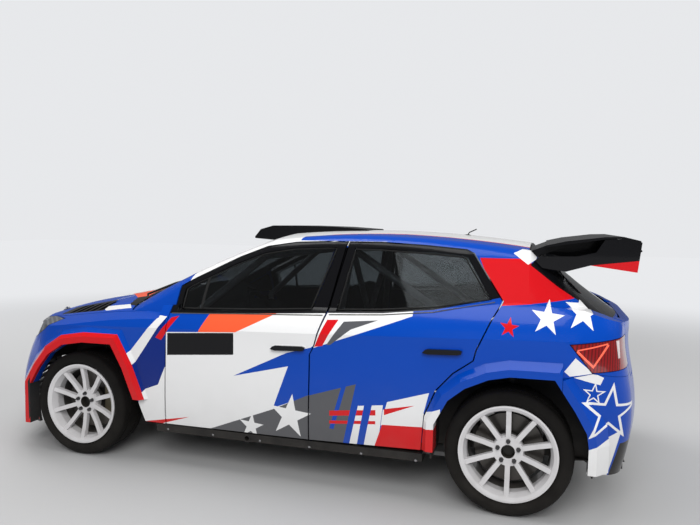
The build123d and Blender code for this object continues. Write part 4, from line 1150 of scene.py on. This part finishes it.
AERIAL_ROD = ((-1.02, 0.0, 1.398), (-1.03, 0.0, 1.415), (-1.075, 0.0, 1.436))
AERIAL_FOOT = ((0.0, 0.022), (0.006, 0.020), (0.010, 0.012))
DIFFUSER_PLATE = (
    (-1.640, -0.60, 0.228), (-1.935, -0.52, 0.228), (-1.935, 0.52, 0.228), (-1.640, 0.60, 0.228),
)
DIFFUSER_FIN = ((-1.660, 0.226), (-1.930, 0.226), (-1.930, 0.172), (-1.760, 0.178))
FIN_PLACES = (-0.48, -0.16, 0.16, 0.48)
PIN_AT = (1.740, 0.400)
PIN_PLATE = ((-0.003, 0.026), (0.002, 0.026), (0.004, 0.022))
PIN_STEM = ((0.003, 0.006), (0.016, 0.006), (0.018, 0.004))
BOLT_PROFILE = ((-0.006, 0.008), (0.003, 0.008), (0.005, 0.005))
BOLT_COUNT = 6
# Number plates: end of the car, its bumper, which way it faces, and height of the plate's middle
PLATE_PLACES = (("front", "front_bumper", 1.0, 0.495), ("rear", "rear_bumper", -1.0, 0.560))
PLATE_SUNK = 0.004


def aerial_mesh():
    mesh = bmesh.new()
    add_bar(mesh, AERIAL_ROD, 0.0035)
    add_turned(mesh, (-1.02, 0.0, 1.392), UP, AERIAL_FOOT, 16)
    return mesh


def plate_mesh(face_x, ahead, z, width, height, depth):
    # Flat plate a little sunk into the bumper, and level with the middle of the car
    mesh = bmesh.new()
    corners = ((-width, -height), (width, -height), (width, height), (-width, height))
    outline = [(face_x - ahead * PLATE_SUNK, y / 2, z + rise / 2) for y, rise in corners]
    add_slab(mesh, outline, (ahead * depth, 0, 0))
    return mesh


def diffuser_mesh():
    mesh = bmesh.new()
    add_slab(mesh, DIFFUSER_PLATE, (0, 0, -0.005))
    for y in FIN_PLACES:
        add_slab(mesh, [(x, y, z) for x, z in DIFFUSER_FIN], (0, 0.005, 0))
    return mesh


def bonnet_pin_mesh(foot, sign):
    # Round plate, stem and cross pin, square to the bonnet
    mesh = bmesh.new()
    upright = (0.18, sign * 0.10, 1)
    add_turned(mesh, foot, upright, PIN_PLATE, 20)
    add_turned(mesh, foot, upright, PIN_STEM, 12)
    add_bar(mesh, [foot + Vector((0.020, 0, 0.006)), foot + Vector((-0.020, 0, 0.014))], 0.0022, 8)
    return mesh


def sill_bolt_mesh(sign):
    mesh = bmesh.new()
    for index in range(BOLT_COUNT):
        add_turned(mesh, (0.62 - 0.30 * index, sign * 0.8535, 0.218), (0, sign, 0), BOLT_PROFILE, 8)
    return mesh


class RALLY_OT_trim(bpy.types.Operator):
    """Small trim: roof aerial, blank plates, diffuser, bonnet pins and sill bolts"""
    bl_idname = "rally.trim"
    bl_label = "Trim"

    def execute(self, context):
        steel = plain_finish("Pin steel", (0.40, 0.40, 0.41), 0.2, 0.3, Metallic=1.0, dust=0.0)
        black = plain_finish("Trim rubber", (0.012, 0.012, 0.013), 0.4, 0.55)
        white = plain_finish("Plate white", (0.70, 0.70, 0.69), 0.3, 0.4)
        add_piece("aerial", aerial_mesh(), black, "body")
        for end, bumper, ahead, z in PLATE_PLACES:
            face = point_on(surface_of(bumper), (ahead * 3.0, 0.0, z), (-ahead, 0, 0))
            holder = plate_mesh(face.x, ahead, z, 0.540, 0.124, 0.0050)
            add_piece(f"holder_{end}", holder, black, "body", smooth=False)
            plate = plate_mesh(face.x, ahead, z, 0.520, 0.110, 0.0058)
            add_piece(f"plate_{end}", plate, white, "body", smooth=False)
        add_piece("diffuser", diffuser_mesh(), black, "body", smooth=False)
        bonnet = surface_of("bonnet")
        pin_x, pin_y = PIN_AT
        for side_name, sign in SIDES:
            foot = point_on(bonnet, (pin_x, sign * pin_y, 2.0), DOWN)
            add_piece(f"bonnet_pin_{side_name}", bonnet_pin_mesh(foot, sign), steel, "bonnet")
        for side_name, sign in SIDES:
            add_piece(f"sill_bolts_{side_name}", sill_bolt_mesh(sign), steel, "body")
        return {"FINISHED"}


# Stage: the photograph's camera, soft lights and a pale floor
CAMERA_AT = Vector((-1.4956, 4.0911, 1.4678))
CAMERA_AHEAD = Vector((0.29366, -0.95380, -0.06353))
CAMERA_ROLL = 0.0161421
SENSOR_WIDTH = 36.0
CAMERA_LENS = 633.4686 / 700.0 * SENSOR_WIDTH
FLOOR_REACH = 30.0
# The floor turns into the background between these distances from the car's middle
FADE_FROM, FADE_TO = 3.0, 10.0
# World: its strength as light, how much more the camera sees, and how much less reflections see
WORLD_LIGHT, WORLD_SEEN, WORLD_MIRRORED = 0.50, 0.50, 0.30
LIGHTS_AIM = Vector((0, 0, 0.5))
# Light, place, size, share of the key's power, seen in reflections
STAGE_LIGHTS = (
    ("key", (-2.0, 6.5, 5.0), (5.0, 4.0), 0.75, False),
    ("top", (0.3, 0.6, 6.5), (6.0, 3.0), 0.36, True),
    ("fill", (5.5, -3.0, 5.0), (5.0, 4.0), 0.55, False),
    ("rear", (-6.5, -2.0, 4.5), (4.0, 3.0), 0.40, False),
)


def photo_camera():
    data = bpy.data.cameras.new("photo_camera")
    data.sensor_width = SENSOR_WIDTH
    data.lens = CAMERA_LENS
    data.clip_end = 60.0
    camera = bpy.data.objects.new("photo_camera", data)
    bpy.context.scene.collection.objects.link(camera)
    ahead = CAMERA_AHEAD.normalized()
    right = ahead.cross(Vector(UP)).normalized()
    up = right.cross(ahead)
    cosine, sine = math.cos(CAMERA_ROLL), math.sin(CAMERA_ROLL)
    turned_right = right * cosine + up * sine
    turned_up = up * cosine - right * sine
    camera.matrix_world = Matrix((
        (turned_right.x, turned_up.x, -ahead.x, CAMERA_AT.x),
        (turned_right.y, turned_up.y, -ahead.y, CAMERA_AT.y),
        (turned_right.z, turned_up.z, -ahead.z, CAMERA_AT.z),
        (0, 0, 0, 1),
    ))
    bpy.context.scene.camera = camera


def add_area_light(name, at, size, power, mirrored):
    data = bpy.data.lights.new(name, "AREA")
    data.shape = "RECTANGLE"
    data.size, data.size_y = size
    data.energy = power
    lamp = bpy.data.objects.new(name, data)
    bpy.context.scene.collection.objects.link(lamp)
    lamp.location = at
    lamp.rotation_euler = (LIGHTS_AIM - Vector(at)).to_track_quat("-Z", "Y").to_euler()
    lamp.visible_glossy = mirrored


def floor_material():
    # Pale floor that turns into the background with distance, with no line between them
    settings = bpy.context.scene.rally_stage
    material, tree, shader = new_material("Pale floor", Specular_IOR_Level=0.2, Emission_Strength=1.0)
    position = folded_position(tree)
    far = tree.nodes.new("ShaderNodeMapRange")
    far.interpolation_type = "SMOOTHSTEP"
    tree.links.new(vector_node(tree, "LENGTH", position), far.inputs["Value"])
    far.inputs["From Min"].default_value = FADE_FROM
    far.inputs["From Max"].default_value = FADE_TO
    mask, pale, backdrop = far.outputs["Result"], tuple(settings.floor), tuple(settings.backdrop)
    tree.links.new(mix_colour(tree, mask, pale, NO_LIGHT), shader.inputs["Base Color"])
    tree.links.new(mix_colour(tree, mask, NO_LIGHT, backdrop), shader.inputs["Emission Color"])
    # Seen from below the floor is clear, so that the underside shows
    facing = tree.nodes.new("ShaderNodeNewGeometry")
    tree.links.new(math_node(tree, "SUBTRACT", 1.0, facing.outputs["Backfacing"]), shader.inputs["Alpha"])
    rough_and_bump(tree, shader, position, 0.6, 0.7, fine=20.0, strength=0.02)
    return material


def studio_world(backdrop):
    world = bpy.data.worlds.new("studio")
    world.use_nodes = True
    tree = world.node_tree
    background = tree.nodes["Background"]
    background.inputs["Color"].default_value = (*backdrop, 1.0)
    path = tree.nodes.new("ShaderNodeLightPath")
    seen = math_node(tree, "MULTIPLY", path.outputs["Is Camera Ray"], WORLD_SEEN)
    mirrored = math_node(tree, "MULTIPLY", path.outputs["Is Glossy Ray"], WORLD_MIRRORED)
    level = math_node(tree, "SUBTRACT", math_node(tree, "ADD", seen, WORLD_LIGHT), mirrored)
    tree.links.new(level, background.inputs["Strength"])
    return world


class RALLY_OT_stage(bpy.types.Operator):
    """Pale floor, soft lights, world and the photograph's camera"""
    bl_idname = "rally.stage"
    bl_label = "Stage"

    def execute(self, context):
        settings = context.scene.rally_stage
        photo_camera()
        mesh = bmesh.new()
        corners = ((-1, -1), (1, -1), (1, 1), (-1, 1))
        mesh.faces.new([mesh.verts.new((x * FLOOR_REACH, y * FLOOR_REACH, 0.0)) for x, y in corners])
        object_from("floor", mesh, floor_material())
        for name, at, size, share, mirrored in STAGE_LIGHTS:
            add_area_light(name, at, size, settings.key * share, mirrored)
        context.scene.world = studio_world(settings.backdrop)
        context.scene.view_settings.view_transform = "Standard"
        return {"FINISHED"}


OPERATORS = (
    RALLY_OT_paint, RALLY_OT_glazing, RALLY_OT_lamps, RALLY_OT_wheels, RALLY_OT_cabin, RALLY_OT_running_gear,
    RALLY_OT_trim, RALLY_OT_stage,
)
SETTINGS = (
    ("rally_paint", PaintSettings), ("rally_glass", GlassSettings), ("rally_lamp", LampSettings),
    ("rally_wheel", WheelSettings), ("rally_cabin", CabinSettings), ("rally_stage", StageSettings),
)


class RALLY_PT_panel(bpy.types.Panel):
    bl_label = "Rally car"
    bl_idname = "RALLY_PT_panel"
    bl_space_type = "VIEW_3D"
    bl_region_type = "UI"
    bl_category = "Rally car"

    def draw(self, context):
        for name, group in SETTINGS:
            box = self.layout.box()
            for label in group.__annotations__:
                box.prop(getattr(context.scene, name), label)
        for operator in OPERATORS:
            self.layout.operator(operator.bl_idname)


def register():
    for name, group in SETTINGS:
        bpy.utils.register_class(group)
        setattr(bpy.types.Scene, name, PointerProperty(type=group))
    for operator in OPERATORS:
        bpy.utils.register_class(operator)
    bpy.utils.register_class(RALLY_PT_panel)


def unregister():
    bpy.utils.unregister_class(RALLY_PT_panel)
    for operator in reversed(OPERATORS):
        bpy.utils.unregister_class(operator)
    for name, group in reversed(SETTINGS):
        delattr(bpy.types.Scene, name)
        bpy.utils.unregister_class(group)


def main():
    register()
    bpy.ops.rally.paint()
    bpy.ops.rally.glazing()
    bpy.ops.rally.lamps()
    bpy.ops.rally.wheels()
    bpy.ops.rally.cabin()
    bpy.ops.rally.running_gear()
    bpy.ops.rally.trim()
    bpy.ops.rally.stage()


if __name__ == "__main__":
    main()
